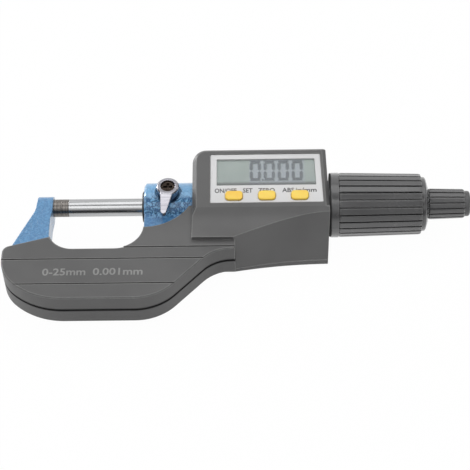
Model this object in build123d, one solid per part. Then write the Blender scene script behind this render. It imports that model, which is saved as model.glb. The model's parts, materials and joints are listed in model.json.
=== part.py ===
from build123d import *
import math
import os

# Sizes are in millimetres. X runs along the spindle towards the ratchet and is 0 where the measuring
# faces meet, Y points out of the throat, and Z points towards the side with the display.

# Fits
run_fit = 0.02
slide_fit = 0.05
loose_fit = 0.1
screw_room = 0.2
far = 100.0

# Measuring parts
travel = 25.0
spindle_r = 3.25
spindle_tip_x = 2.75
tip_chamfer = 0.1
anvil_tip_length = 1.6
anvil_end_x = -7.6

# Frame casting
web_half = 4.9
arm_half = 4.2
arm_inner_x = -3.3
arm_head_x = -2.9
arm_head_low_y = -3.6
arm_neck_y = -8.0
arm_head_r = 4.0
arm_top_y = 4.2
arm_outer_top_x = -8.3
arm_corner_r = 1.0
arm_bend = (-9.05, -4.4)
arm_bend_r = 8.0
arm_below_shoulder = 3.0
web_wall = 2.0
web_shoulder_y = -22.6
web_shoulder_r = 1.0
web_above_shoulder = 1.0
web_tail_low_x = 36.2
web_tail = (53.0, -26.2)
web_tail_high_y = -22.0
web_tail_r = 17.0
web_tail_corner_r = 0.5
throat_right_x = 31.0
throat_bottom_y = -24.4
throat_left_r = 9.2
throat_right_r = 10.0
web_end_x = 50.0
web_pockets = ((-8.5, -1.5), (5.5, 27.5))
pocket_ys = (-39.5, -29.4)
pocket_r = 2.0
pocket_floor = 1.2
boss_start_x = 30.8
boss_end_x = 52.0
boss_r = 8.8
boss_nose = 0.7
spigot_length = 5.0
bush_start_x = 29.9
bush_end_x = 34.0
bush_r = 5.75
bush_chamfer = 0.3

# Frame covers
cover_half = 7.0
cover_seam = 0.8
cover_bottom_y = -46.7
cover_left_x = -19.0
bowl_left_y = -35.5
bowl_low_x = -6.2
bowl_radii = (15.0, 26.0)
cover_shoulder_y = -23.53
cover_shoulder_r = 3.0
cover_slope = math.radians(16.0)
cover_top_y = -24.0
cover_inner_x = (2.0, 22.0)
cover_inner_y = -22.0
cover_lower_x = 37.1
cover_lower_r = 19.0
cover_tail = (56.6, -25.2)
cover_tail_r = 14.0
cover_end_x = 63.9
cover_end_r = 0.7
cover_edge = 0.4
cover_rear_edge = 0.8
cover_strip_y = (-24.8, -21.5)
frame_room = 0.2
groove_ys = (-29.25, -40.25)
groove_width = 0.42
groove_depth = 0.5
cover_screw_xy = ((2.0, -34.8), (31.0, -34.8))
cover_screw_r = 1.1
cover_screw_head_r = 1.9
cover_screw_head = 1.2
cover_screw_end = 0.8
head_sink = 0.1
recess_depth = 0.7
cover_recess = 2.4
recess_bar = 0.28
neck_r = 18.5
neck_centre = (31.0, 3.5)
neck_top_y = -5.0
neck_joint_y = -23.85
neck_rear_y = -24.4
neck_left_x = 22.0
neck_overlap = 0.6

# Barrel, screw thread and encoder
barrel_r = 7.5
barrel_wall = 1.0
barrel_bore_r = barrel_r - barrel_wall
sleeve_step = 1.5
sleeve_r = barrel_r + sleeve_step
sleeve_start_x = 94.5
sleeve_chamfer = 0.5
nut_start_x = 104.0
nut_body_end_x = 118.0
nut_end_x = 125.0
nut_slot = 0.8
nut_slot_depth = 4.0
nut_slots = 3
thread_r = 3.7
thread_relief = 0.3
thread_reach = 1.0
thread_start_x = nut_start_x - travel + thread_reach
thread_end_x = 119.0
thread_lead_in = 0.45
adjuster_room = 0.5
adjuster_r = barrel_r - adjuster_room
adjuster_wall = 1.8
nut_collet_r = adjuster_r - adjuster_wall
adjuster_gap = 1.0
adjuster_end = 0.4
adjuster_notch = (1.2, 1.6)
adjuster_notches = 4
spigot_end_x = boss_end_x + spigot_length
spigot_r = barrel_bore_r
encoder_gap = 0.3
stator_thick = 1.0
stator_room = 0.35
rotor_thick = 0.8
rotor_room = 0.3
rotor_r = barrel_bore_r - rotor_room
hub_r = 5.0
hub_neck = 0.6
hub_end_x = 64.0
key_xs = (60.2, 62.8)
key_width = 1.0
key_depth = 0.9
keyway_reach = 0.7
keyway_start_x = key_xs[0] - travel - keyway_reach
keyway_end_x = 64.5
retainer_thick = 2.0
retainer_room = 0.4
ribbon_width = 3.0
ribbon_thick = 0.3
ribbon_room = 0.2

# Display housing, whose heights are counted from the top of the barrel inside it
wall = 1.8
housing_left_x = 48.5
face_low_rise = 2.55
face_high_rise = 8.15
face_low = (-8.6, barrel_r + face_low_rise)
face_high = (13.6, barrel_r + face_high_rise)
face_bevel = 1.5
face_rim_top = 22.5
face_rim_corner_r = 0.6
face_bevel_reach = 40.0
face_right_low_x = 96.8
face_right_high_x = 95.7
corner_r = 5.0
cove_mid_rise = 0.35
cove_lip_rise = 1.3
cove_mid = (-15.8, barrel_r + cove_mid_rise)
cove_lip = (-21.4, barrel_r + cove_lip_rise)
front_top_y = 14.2
back_top_y = 12.8
back_bottom_y = -21.25
back_z = -12.5
back_chamfer = 0.6
split_z = -10.3
swoosh_start_x = 63.5
swoosh_mid = (79.9, -13.7)
swoosh_end = (98.15, -10.4)
back_swoosh_mid = (80.0, -19.1)
back_swoosh_end = (97.5, -18.2)
front_right_top_x = 97.05
back_right_top_x = 97.2
cove_side_sum = 40.05
cove_cavity_room = 0.15
housing_screw_xy = ((52.3, 9.3), (94.5, 9.8), (51.6, -17.3), (94.3, -12.8))
post_r = 2.1
post_top_z = -6.0
housing_screw_r = 1.0
housing_screw_head_r = 1.8
housing_screw_head = 1.1
housing_screw_end = 0.8
housing_recess = 2.2
board_post_r = 1.1
board_post_x = 54.2
board_post_ups = (3.0, 18.0)
sleeve_hole_xs = (94.0, 99.0)

# Display, measured in the plane of the sloping face: along X, and up from its lower edge
plate_left_x = 55.05
plate_right_low_x = 95.9
plate_right_high_x = 94.9
plate_low = 1.67
plate_high = 21.2
plate_corner_r = 0.4
plate_recess = 0.3
plate_thick = 0.8
window_left_x = 57.35
window_right_low_x = 93.4
window_right_high_x = 92.9
window_low = 8.67
window_high = 19.3
window_corner_r = 0.25
window_recess = 0.15
panel_edge = 0.75
panel_ledge = 0.3
panel_top = 1.15
panel_step = 0.85
panel_bottom = 3.1
contact_width = 1.2
contact_edge = 0.2
contact_gap = 0.4
contact_xs = (58.0, 92.5)
board_thick = 0.8
board_left_x = 53.0
board_gap = 0.3
board_ups = (0.9, 20.6)
board_slot_xs = (52.0, 96.5)
board_slot_ups = (-1.0, 22.0)
board_chips = ((60.0, 15.5, 5.0), (72.0, 16.2, 7.0), (84.0, 15.0, 4.0))
chip_half_height = 2.0
chip_thick = 1.0
button_xs = (63.6, 75.5, 87.4)
button_up = 4.4
button_size = (6.3, 3.6)
button_corner = 1.3
button_rise = 0.85
button_edge = 0.4
button_flange = 0.5
button_travel = 0.4
button_gap = 0.12
keypad_thick = 0.2
keypad_base = 0.12
keypad_inset = 0.5
keypad_xs = (59.0, 92.0)
keypad_ups = (1.6, 7.2)

# Battery
cell_centre = (64.0, -11.2)
cell_r = 5.8
cell_thick = 5.4
cell_low_z = -11.0
cell_step = (0.8, 0.3)
contact_half = 1.5
contact_sheet = 0.3
contact_strip = 0.25
contact_plus_zs = (1.6, 4.4)
contact_plus_room = 0.7
contact_minus_room = 0.9
contact_minus_reach = 3.0
cap_r = 7.3
cap_thick = 1.1
cap_neck_r = 6.55
cap_bore_room = 0.15
cap_lug_r = 7.2
cap_lug_thick = 0.55
cap_lug_half = 12.0
cap_notch_half = 16.0
cap_turn = 45.0
cap_slot = (9.5, 1.6, 0.7)
seal_inner_r = 6.72
seal_outer_r = 7.2
seal_thick = 0.25

# Thimble
thimble_start_x = 98.6
thimble_wall = 2.9
thimble_r = sleeve_r + thimble_wall
thimble_edge = 0.4
collar_end_x = 101.5
collar_groove = 0.35
collar_groove_depth = 0.5
rib_drop = 0.15
rib_r = thimble_r - rib_drop
rib_taper = 0.7
rib_end_r = rib_r - rib_taper
rib_count = 26
rib_start = 4.3
rib_gap = 0.6
rib_depth = 0.9
rib_edge = 0.5
sleeve_reach = 3.9
sleeve_end_x = thimble_start_x + travel + sleeve_reach
floor_gap = 1.1
thimble_floor_x = sleeve_end_x + floor_gap
floor_thick = 3.0
rib_end_x = thimble_floor_x + floor_thick
end_ring_drop = 1.8
end_ring_r = rib_r - end_ring_drop
end_ring_length = 1.5
end_ring_x = rib_end_x + end_ring_length
thimble_end_slope = (1.0, 3.0)
thimble_end_x = end_ring_x + thimble_end_slope[0]
thimble_end_r = end_ring_r - thimble_end_slope[1]
end_ring_edge = 0.9
tail_r = 4.0
spindle_end_room = 0.2
spindle_end_x = thimble_end_x - spindle_end_room

# Ratchet stop
knob_gap = 0.3
knob_start_x = thimble_end_x + knob_gap
knob_length = 13.2
knob_end_x = knob_start_x + knob_length
knob_r = 5.6
knob_end_r = 5.25
knob_edge = 0.35
knob_bore_r = 4.0
knob_lip = 0.4
knob_lip_r = 3.2
flute_count = 16
flute_start = 15.0
flute_width = 0.55
flute_depth = 0.4
knob_cap_length = 2.0
knob_cap_end_x = knob_end_x + knob_cap_length
knob_cap_r = 4.65
knob_cap_edge = 0.9
tooth_count = 12
tooth_base = 1.85
tooth_height = 0.5
tooth_root_x = knob_start_x + tooth_base
tooth_tip_x = tooth_root_x + tooth_height
tooth_width = 0.45
tooth_inner_r = 2.0
tooth_sink = 0.1
ratchet_ring_thick = 2.0
ratchet_ring_x = tooth_tip_x + ratchet_ring_thick
ring_lug_r = 4.5
ring_lug_width = 1.0
ring_lugs = 3
ratchet_screw_r = 1.5
ratchet_screw_depth = 8.0
spring_room = 6.2
ratchet_head_x = ratchet_ring_x + spring_room
ratchet_head = 1.6
ratchet_head_end_x = ratchet_head_x + ratchet_head
ratchet_head_r = 2.8
ratchet_slot = (0.8, 0.7)
spring_r = 2.6
spring_wire_r = 0.3
spring_turns = 5

# Spindle lock
lock_x = 39.6
lock_floor_z = 6.9
lock_floor_gap = 0.15
lock_pocket_r = 4.75
lock_hub_r = 4.05
lock_hub_z = 12.0
lock_hub_edge = 0.4
lock_recess_r = 2.65
lock_recess_z = 10.6
lock_arm_angle = 7.5
lock_arm_length = 11.4
lock_arm_width = 5.5
lock_arm_tip_width = 2.1
lock_arm_tip_z = 9.9
lock_arm_thick = 1.5
lock_screw_r = 1.0
lock_screw_sink = 0.5
lock_screw_edge = 0.3
lock_screw_end_z = 6.6
lock_recess = 3.4
lock_stud_r = 2.0
lock_stud_z = (5.05, 8.6)
lock_pin_r = 1.5
lock_pin_bore_z = 2.0


def turned(*profile):
    """A body of revolution about the spindle axis, from points given as (x, radius)."""
    return revolve(make_face(Polyline(*profile, close=True)), axis=Axis.X)


def ring(start_x, end_x, outer, inner=0.0):
    return turned((start_x, inner), (start_x, outer), (end_x, outer), (end_x, inner))


def slab(outline, low_z, high_z):
    return Pos(0, 0, low_z) * extrude(outline, high_z - low_z, dir=(0, 0, 1))


def rail(profile, start_x, end_x):
    """A prism along X from a profile drawn as (y, z)."""
    return Pos(start_x, 0, 0) * extrude(Plane.YZ * profile, end_x - start_x, dir=(1, 0, 0))


def polygon(points, radii):
    return make_face(FilletPolyline(*points, radius=radii, close=True))


def box(x, y, z):
    """A block from its three ranges."""
    size = [high - low for low, high in (x, y, z)]
    middle = [(high + low) / 2 for low, high in (x, y, z)]
    return Pos(*middle) * Box(*size)


def post(xy, r, low_z, high_z):
    return Pos(xy[0], xy[1], (low_z + high_z) / 2) * Cylinder(r, high_z - low_z)


def edges_at(solid, z):
    """The edges that lie in a plane square to Z."""
    return [e for e in solid.edges() if all(abs(v.Z - z) < 0.001 for v in e.vertices())]


def around(count, shape, start=0.0):
    """Copies of a shape, turned evenly about the spindle axis."""
    return [Rot(start + step * 360 / count, 0, 0) * shape for step in range(count)]


# The sloping face of the display housing, with its own frame: along X, up the slope, and outwards
face_slope = math.atan2(face_high[1] - face_low[1], face_high[0] - face_low[0])
face_plane = Plane(
    origin=(0, face_low[0], face_low[1]),
    x_dir=(1, 0, 0),
    z_dir=(0, -math.sin(face_slope), math.cos(face_slope)),
)


def below_face(outline, upper, lower):
    """A slab under the sloping face, between two depths below it."""
    return face_plane.location * slab(outline, -lower, -upper)


def face_block(x, up, upper, lower):
    return face_plane.location * box(x, up, (-lower, -upper))


# Depths of the stack under the sloping face
plate_top = plate_recess
plate_bottom = plate_recess + plate_thick
board_top = panel_bottom
board_bottom = panel_bottom + board_thick
keypad_top = board_top - keypad_thick
flange_bottom = keypad_top - button_travel - slide_fit
flange_top = flange_bottom - button_flange
axis_depth = (math.cos(face_slope) * face_low[1] - math.sin(face_slope) * face_low[0])
axis_up = -(math.cos(face_slope) * face_low[0] + math.sin(face_slope) * face_low[1])
contacts_low = window_low - panel_edge + contact_edge

# Places along the axis that more than one piece shares
rotor_start_x = spigot_end_x + stator_thick + encoder_gap
ratchet_screw_x = spindle_end_x - ratchet_screw_depth


def throat():
    return polygon(
        [
            (arm_head_x, far),
            (arm_head_x, arm_head_low_y),
            (arm_inner_x, arm_neck_y),
            (arm_inner_x, throat_bottom_y),
            (throat_right_x, throat_bottom_y),
            (throat_right_x, far),
        ],
        [0, arm_head_r, arm_head_r, throat_left_r, throat_right_r, 0],
    )


def bowl_corner(inset):
    """The rounded lower left corner, from two points with their radii, drawn in by a distance."""
    run = bowl_low_x - cover_left_x
    drop = bowl_left_y - cover_bottom_y
    turn = math.atan2(run, drop)
    left = (cover_left_x + inset, bowl_left_y + inset * math.tan(turn / 2))
    low = (bowl_low_x + inset * math.tan(math.pi / 4 - turn / 2), cover_bottom_y + inset)
    return [left, low], [r - inset for r in bowl_radii]


def frame_outline():
    bowl, bowl_rs = bowl_corner(web_wall)
    outer = polygon(
        [
            (0, arm_top_y),
            (arm_outer_top_x, arm_top_y),
            arm_bend,
            (cover_left_x + web_wall, web_shoulder_y),
            *bowl,
            (web_tail_low_x, cover_bottom_y + web_wall),
            web_tail,
            (web_tail[0], web_tail_high_y),
            (web_end_x, web_tail_high_y),
            (web_end_x, 0),
            (0, 0),
        ],
        [
            0, arm_corner_r, arm_bend_r, web_shoulder_r, *bowl_rs,
            web_tail_r, web_tail_corner_r, web_tail_corner_r, 0, 0, 0,
        ],
    )
    return outer - throat()


def frame_room_solid():
    """The space that the casting's web and boss take up between the covers."""
    half = web_half + loose_fit
    web = slab(offset(frame_outline(), frame_room), -half, half)
    return web + ring(boss_start_x, boss_end_x, boss_r + slide_fit)


def shoulder_line_y(x):
    return cover_shoulder_y + (x - cover_left_x) * math.tan(cover_slope)


def arm_zone(rise):
    """Everything above the covers' shoulder on the arm's side of the throat."""
    right_x = throat_right_x / 3
    outline = Polyline(
        (-far, shoulder_line_y(-far) + rise),
        (right_x, shoulder_line_y(right_x) + rise),
        (right_x, far),
        (-far, far),
        close=True,
    )
    return slab(make_face(outline), -far, far)


def web_pocket(xs):
    """A shallow pocket that leaves the web thin between its edges, as seen from one side."""
    width = xs[1] - xs[0]
    height = pocket_ys[1] - pocket_ys[0]
    outline = RectangleRounded(width, height, pocket_r)
    return Pos(sum(xs) / 2, sum(pocket_ys) / 2) * outline


def frame():
    plan = frame_outline()
    web = slab(plan, -web_half, web_half) - arm_zone(web_above_shoulder)
    arm = slab(plan, -arm_half, arm_half) & arm_zone(-arm_below_shoulder)
    arm -= box((-far, 0), (0, far), (-far, far)) - ring(-far, 0, arm_half)
    boss = turned(
        (boss_start_x, 0),
        (boss_start_x, boss_r - boss_nose),
        (boss_start_x + boss_nose, boss_r),
        (boss_end_x, boss_r),
        (boss_end_x, spigot_r),
        (spigot_end_x, spigot_r),
        (spigot_end_x, 0),
    )
    casting = web + arm + boss
    casting -= ring(anvil_end_x, 0, spindle_r)
    casting -= ring(throat_right_x / 2, far, spindle_r + run_fit)
    casting -= ring(throat_right_x / 2, bush_end_x, bush_r)
    casting -= post((lock_x, 0), lock_pocket_r, lock_floor_z, far)
    casting -= post((lock_x, 0), lock_stud_r + slide_fit, lock_stud_z[0] - slide_fit, far)
    casting -= post((lock_x, 0), lock_pin_r, lock_pin_bore_z, far)
    for xs in web_pockets:
        casting -= slab(web_pocket(xs), pocket_floor, far)
        casting -= slab(web_pocket(xs), -far, -pocket_floor)
    for xy in cover_screw_xy:
        casting -= post(xy, cover_screw_r + screw_room, -far, far)
    return casting


def anvil():
    return turned(
        (anvil_end_x, 0),
        (anvil_end_x, spindle_r),
        (-anvil_tip_length, spindle_r),
        (-anvil_tip_length, 0),
    )


def anvil_tip():
    return turned(
        (-anvil_tip_length, 0),
        (-anvil_tip_length, spindle_r),
        (-tip_chamfer, spindle_r),
        (0, spindle_r - tip_chamfer),
        (0, 0),
    )


def spindle_bush():
    return turned(
        (bush_start_x, spindle_r + run_fit),
        (bush_start_x, bush_r - bush_chamfer),
        (bush_start_x + bush_chamfer, bush_r),
        (bush_end_x, bush_r),
        (bush_end_x, spindle_r + run_fit),
    )


def cover_outline():
    bowl, bowl_rs = bowl_corner(0)
    inner_x, neck_x = cover_inner_x
    outer = polygon(
        [
            bowl[1],
            bowl[0],
            (cover_left_x, cover_shoulder_y),
            (inner_x, shoulder_line_y(inner_x)),
            (inner_x, cover_inner_y),
            (neck_x, cover_inner_y),
            (neck_x, cover_top_y),
            (cover_end_x, cover_top_y),
            (cover_end_x, cover_tail[1]),
            cover_tail,
            (cover_lower_x, cover_bottom_y),
        ],
        [
            bowl_rs[1], bowl_rs[0], cover_shoulder_r, 0, 0, 0, 0, cover_end_r, 0,
            cover_tail_r, cover_lower_r,
        ],
    )
    return outer - throat()


def neck_outline(low_y, right_x):
    middle = ((neck_left_x + right_x) / 2, (neck_top_y + low_y) / 2)
    block = Pos(*middle) * Rectangle(right_x - neck_left_x, neck_top_y - low_y)
    return block - Pos(*neck_centre) * Circle(neck_r) - throat()


def strip_outline(left_x, low_y, high_y):
    middle = ((left_x + cover_end_x) / 2, (low_y + high_y) / 2)
    return Pos(*middle) * Rectangle(cover_end_x - left_x, high_y - low_y)


def frame_cover_front():
    face_edges = slab(cover_outline(), cover_seam / 2, cover_half)
    cover = chamfer(edges_at(face_edges, cover_half), cover_edge)
    cover -= frame_room_solid()
    for y in groove_ys:
        ys = (y - groove_width / 2, y + groove_width / 2)
        cover -= box((-far, far), ys, (cover_half - groove_depth, far))
    for xy in cover_screw_xy:
        cover -= post(xy, cover_screw_r, 0, cover_half - cover_screw_end)
    return cover


def frame_cover_rear():
    joint_x = housing_left_x - loose_fit
    upper = neck_outline(neck_rear_y, joint_x) + strip_outline(joint_x, *cover_strip_y)
    cover = slab(cover_outline(), -cover_half, -cover_seam / 2)
    rim = edges_at(cover, -cover_half)
    cover = fillet([e for e in rim if e.center().Y < cover_tail[1] + loose_fit], cover_rear_edge)
    cover += slab(upper, -cover_half, -cover_seam / 2)
    cover -= frame_room_solid()
    for xy in cover_screw_xy:
        cover -= post(xy, cover_screw_r + loose_fit, -far, 0)
        cover -= post(xy, cover_screw_head_r + loose_fit, -far, -cover_half + cover_screw_head)
    return cover


def cross_recess(size, depth):
    """The two crossed slots of a cross-recess screw, below Z = 0."""
    slot = Box(size, size * recess_bar, depth * 2)
    return slot + Rot(0, 0, 90) * slot


def cover_screw(xy):
    head_low = -cover_half + head_sink
    head_high = -cover_half + cover_screw_head
    screw = post(xy, cover_screw_head_r, head_low, head_high)
    screw += post(xy, cover_screw_r, head_high, cover_half - cover_screw_end)
    return screw - Pos(xy[0], xy[1], head_low) * cross_recess(cover_recess, recess_depth)


def cover_screws():
    return Compound(children=[cover_screw(xy) for xy in cover_screw_xy])


def housing_outline(bottom_y, start_x, middle, end, right_top_x, top_y):
    diagonal = corner_r * (1 - math.sqrt(0.5))
    return make_face(
        [
            Line((housing_left_x, bottom_y), (start_x, bottom_y)),
            ThreePointArc((start_x, bottom_y), middle, end),
            Line(end, (right_top_x, top_y)),
            Line((right_top_x, top_y), (housing_left_x + corner_r, top_y)),
            ThreePointArc(
                (housing_left_x + corner_r, top_y),
                (housing_left_x + diagonal, top_y - diagonal),
                (housing_left_x, top_y - corner_r),
            ),
            Line((housing_left_x, top_y - corner_r), (housing_left_x, bottom_y)),
        ]
    )


def housing_block(inset):
    """The lofted block of the housing, before its front is shaped, drawn in by a wall thickness."""
    front = housing_outline(
        cove_lip[0], swoosh_start_x, swoosh_mid, swoosh_end, front_right_top_x, front_top_y
    )
    back = housing_outline(
        back_bottom_y, swoosh_start_x, back_swoosh_mid, back_swoosh_end, back_right_top_x, back_top_y
    )
    if inset:
        front = offset(front, -inset, kind=Kind.INTERSECTION)
        back = offset(back, -inset, kind=Kind.INTERSECTION)
    front_z = cove_lip[1]
    lower = loft([(Pos(0, 0, back_z) * back).face(), (Pos(0, 0, front_z) * front).face()], ruled=True)
    return lower + slab(front, front_z, far)


def bevelled_face():
    """The space under the sloping face, widening at 45 degrees below its rim."""
    lean = (face_right_low_x - face_right_high_x) / face_rim_top

    def rim(depth):
        left_x = housing_left_x + face_bevel - depth
        high_x = face_right_high_x + depth
        top = face_rim_top + depth
        low_x = high_x + lean * (top + far)
        outline = polygon(
            [(left_x, -far), (low_x, -far), (high_x, top), (left_x, top)],
            [0, 0, face_rim_corner_r, corner_r - face_bevel + depth],
        )
        return (face_plane.location * Pos(0, 0, -depth) * outline).face()

    return loft([rim(0), rim(face_bevel_reach)], ruled=True)


def above_face(start):
    """The far end of a line that leaves a point of the (y, z) drawing at the slope of the face."""
    return (far, start[1] + (far - start[0]) * math.tan(face_slope))


def housing_solid():
    """The outside of the housing: sloping face, hollow below it, and bevelled rim."""
    end = above_face(face_low)
    cut = make_face(
        [
            Line((-far, cove_lip[1]), cove_lip),
            ThreePointArc(cove_lip, cove_mid, face_low),
            Line(face_low, end),
            Line(end, (far, 2 * far)),
            Line((far, 2 * far), (-far, 2 * far)),
            Line((-far, 2 * far), (-far, cove_lip[1])),
        ]
    )
    solid = housing_block(0) - rail(cut, 0, 2 * far)
    low_part = box((0, 2 * far), (-far, face_low[0]), (-far, far))
    solid = (solid & bevelled_face()) + (solid & low_part)
    low = face_low[1] / 2
    high = face_low[1] * 2
    side = Polyline(
        (cove_side_sum + low, low),
        (cove_side_sum + high, high),
        (0, high),
        (0, low),
        close=True,
    )
    bevel = extrude(Plane.XZ * make_face(side), far, dir=(0, -1, 0))
    return solid - Pos(0, face_low[0], 0) * bevel


def housing_cavity():
    drop = (
        face_low[0] + wall * math.sin(face_slope),
        face_low[1] - wall * math.cos(face_slope),
    )
    end = above_face(drop)
    roof = cove_mid[1] - wall + cove_cavity_room
    tops = [(far, 2 * far), (-far, 2 * far)]
    cut = Polyline((-far, roof), (drop[0], roof), drop, end, *tops, close=True)
    return housing_block(wall) - rail(make_face(cut), 0, 2 * far)


def neck_plate():
    plan = neck_outline(neck_joint_y, housing_left_x + neck_overlap)
    plan += strip_outline(housing_left_x - loose_fit, neck_joint_y, cove_lip[0] + neck_overlap)
    return slab(plan, cover_seam / 2, cover_half) - frame_room_solid()


def plate_outline(grow=0.0):
    outline = polygon(
        [
            (plate_left_x, plate_low),
            (plate_right_low_x, plate_low),
            (plate_right_high_x, plate_high),
            (plate_left_x, plate_high),
        ],
        [plate_corner_r] * 4,
    )
    return offset(outline, grow) if grow else outline


def window_outline(grow=0.0):
    outline = polygon(
        [
            (window_left_x, window_low),
            (window_right_low_x, window_low),
            (window_right_high_x, window_high),
            (window_left_x, window_high),
        ],
        [window_corner_r] * 4,
    )
    return offset(outline, grow) if grow else outline


def button_outline(x, grow=0.0):
    width = button_size[0] + 2 * grow
    height = button_size[1] + 2 * grow
    return Pos(x, button_up) * RectangleRounded(width, height, button_corner + grow)


def housing_front():
    outside = housing_solid()
    shell = outside - housing_cavity()
    posts = [post(xy, post_r, split_z, post_top_z) for xy in housing_screw_xy]
    shell += [piece & outside for piece in posts]
    for up in board_post_ups:
        pillar = Pos(board_post_x, up) * Circle(board_post_r)
        shell += below_face(pillar, wall - loose_fit, board_top + loose_fit)
    shell -= face_block(board_slot_xs, board_slot_ups, board_top, board_bottom + loose_fit)
    shell += neck_plate()
    shell -= box((0, 2 * far), (-far, far), (-far, split_z))
    inner_x = housing_left_x + wall + loose_fit
    half = web_half + loose_fit
    shell -= ring(boss_start_x, inner_x, boss_r + slide_fit)
    shell -= box((boss_start_x, inner_x), (web_tail_high_y, 0), (-half, half))
    shell -= ring(*sleeve_hole_xs, sleeve_r + slide_fit)
    shell -= below_face(plate_outline(slide_fit), -far, plate_bottom)
    shell -= below_face(window_outline(panel_edge + panel_ledge), 0, panel_top + panel_step)
    for x in button_xs:
        shell -= below_face(button_outline(x, button_gap), 0, panel_top + panel_step)
    for xy in housing_screw_xy:
        shell -= post(xy, housing_screw_r, -far, post_top_z - housing_screw_end)
    return shell


def cap_lugs(r, low_z, high_z, half_angle, start):
    """Two opposite lugs of a bayonet, centred on the battery."""
    spread = math.tan(math.radians(half_angle)) * r
    wedge = make_face(Polyline((0, 0), (2 * r, 2 * spread), (2 * r, -2 * spread), close=True))
    disc = post((0, 0), r, low_z, high_z)
    lug = slab(wedge, low_z, high_z) & disc
    both = [Rot(0, 0, start) * lug, Rot(0, 0, start + 180) * lug]
    return [Pos(cell_centre[0], cell_centre[1], 0) * piece for piece in both]


def housing_back():
    back = housing_solid() & box((0, 2 * far), (-far, far), (-far, split_z))
    back = chamfer(edges_at(back, back_z), back_chamfer)
    ledge_z = back_z + cap_thick
    back -= post(cell_centre, cap_r + slide_fit, -far, ledge_z)
    back -= post(cell_centre, cap_neck_r + slide_fit, -far, 0)
    back -= cap_lugs(cap_lug_r + loose_fit, back_z, 0, cap_notch_half, -cap_turn)
    for xy in housing_screw_xy:
        back -= post(xy, housing_screw_r + loose_fit, -far, 0)
        back -= post(xy, housing_screw_head_r + loose_fit, -far, back_z + housing_screw_head)
    return back


def housing_screw(xy):
    head_low = back_z + head_sink
    head_high = back_z + housing_screw_head
    screw = post(xy, housing_screw_head_r, head_low, head_high)
    screw += post(xy, housing_screw_r, head_high, post_top_z - housing_screw_end)
    return screw - Pos(xy[0], xy[1], head_low) * cross_recess(housing_recess, recess_depth)


def housing_screws():
    return Compound(children=[housing_screw(xy) for xy in housing_screw_xy])


def display_plate():
    plate = below_face(plate_outline(), plate_top, plate_bottom)
    plate -= below_face(window_outline(), 0, far)
    for x in button_xs:
        plate -= below_face(button_outline(x, button_gap), 0, far)
    return plate


def lcd_window():
    return below_face(window_outline(), plate_top + window_recess, plate_bottom)


def lcd_panel():
    glass = below_face(window_outline(panel_edge), panel_top, panel_top + panel_step)
    edge = panel_edge - panel_ledge
    xs = (window_left_x - edge, window_right_high_x + edge)
    ups = (contacts_low + contact_width + contact_gap, window_high + edge)
    return glass + face_block(xs, ups, panel_top + panel_step, panel_bottom)


def lcd_contacts():
    ups = (contacts_low, contacts_low + contact_width)
    return face_block(contact_xs, ups, panel_top + panel_step, panel_bottom)


def circuit_board():
    board = face_block((board_left_x, sleeve_start_x - board_gap), board_ups, board_top, board_bottom)
    for x, up, size in board_chips:
        xs = (x - size / 2, x + size / 2)
        ups = (up - chip_half_height, up + chip_half_height)
        board += face_block(xs, ups, board_bottom, board_bottom + chip_thick)
    return board


def keypad():
    sheet = face_block(keypad_xs, keypad_ups, board_top - keypad_base, board_top)
    for x in button_xs:
        sheet += below_face(button_outline(x, -keypad_inset), keypad_top, board_top)
    return sheet


def button(x):
    top = plate_top - button_rise
    cap = below_face(button_outline(x), top, flange_bottom)
    heights = {e: [face_plane.to_local_coords(Vector(*v)).Z for v in e.vertices()] for e in cap.edges()}
    rim = [e for e, zs in heights.items() if all(abs(z + top) < 0.001 for z in zs)]
    cap = fillet(rim, button_edge)
    return cap + below_face(button_outline(x, button_flange), flange_top, flange_bottom)


def button_power():
    return button(button_xs[0])


def button_zero():
    return button(button_xs[1])


def button_mode():
    return button(button_xs[2])


def battery_cell():
    rim_z = cell_low_z + cell_thick
    inset, drop = cell_step
    cell = post(cell_centre, cell_r, cell_low_z, rim_z - drop)
    return cell + post(cell_centre, cell_r - inset, cell_low_z, rim_z)


def contact_ys():
    return (cell_centre[1] - contact_half, cell_centre[1] + contact_half)


def battery_contact_plus():
    x = cell_centre[0] + cell_r
    low_z, high_z = [cell_low_z + z for z in contact_plus_zs]
    outer_x = cell_centre[0] + cap_lug_r + contact_plus_room
    spring = box((x, x + contact_sheet), contact_ys(), (low_z, high_z))
    leg = box((outer_x - contact_sheet, outer_x), contact_ys(), (split_z, high_z))
    return spring + leg + box((x, outer_x), contact_ys(), (high_z - contact_sheet, high_z))


def battery_contact_minus():
    low_z = cell_low_z + cell_thick
    high_z = low_z + contact_strip
    outer_x = cell_centre[0] - cap_lug_r - contact_minus_room
    strip = box((outer_x, cell_centre[0] + contact_minus_reach), contact_ys(), (low_z, high_z))
    return strip + box((outer_x, outer_x + contact_sheet), contact_ys(), (split_z, high_z))


def battery_cap():
    ledge_z = back_z + cap_thick
    lug_z = split_z + slide_fit
    top_z = lug_z + cap_lug_thick
    cap = post(cell_centre, cap_r, back_z, ledge_z)
    cap += post(cell_centre, cap_neck_r, ledge_z, top_z)
    cap += cap_lugs(cap_lug_r, lug_z, top_z, cap_lug_half, 0)
    cap -= post(cell_centre, cell_r + cap_bore_room, ledge_z, 0)
    groove = post(cell_centre, seal_outer_r, ledge_z - seal_thick, ledge_z)
    cap -= groove - post(cell_centre, seal_inner_r, -far, far)
    length, width, depth = cap_slot
    cap -= Pos(cell_centre[0], cell_centre[1], back_z) * Box(length, width, depth * 2)
    return cap


def cap_seal():
    ledge_z = back_z + cap_thick
    outer = post(cell_centre, seal_outer_r, ledge_z - seal_thick, ledge_z - run_fit)
    return outer - post(cell_centre, seal_inner_r, -far, far)


def sensor_slot(room):
    half = ribbon_width / 2 + room
    reach = axis_depth - spigot_r
    start_x = spigot_end_x + ribbon_thick - room
    xs = (start_x, start_x + ribbon_thick + 2 * room)
    return face_block(xs, (axis_up - half, axis_up + half), board_bottom, reach)


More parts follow.
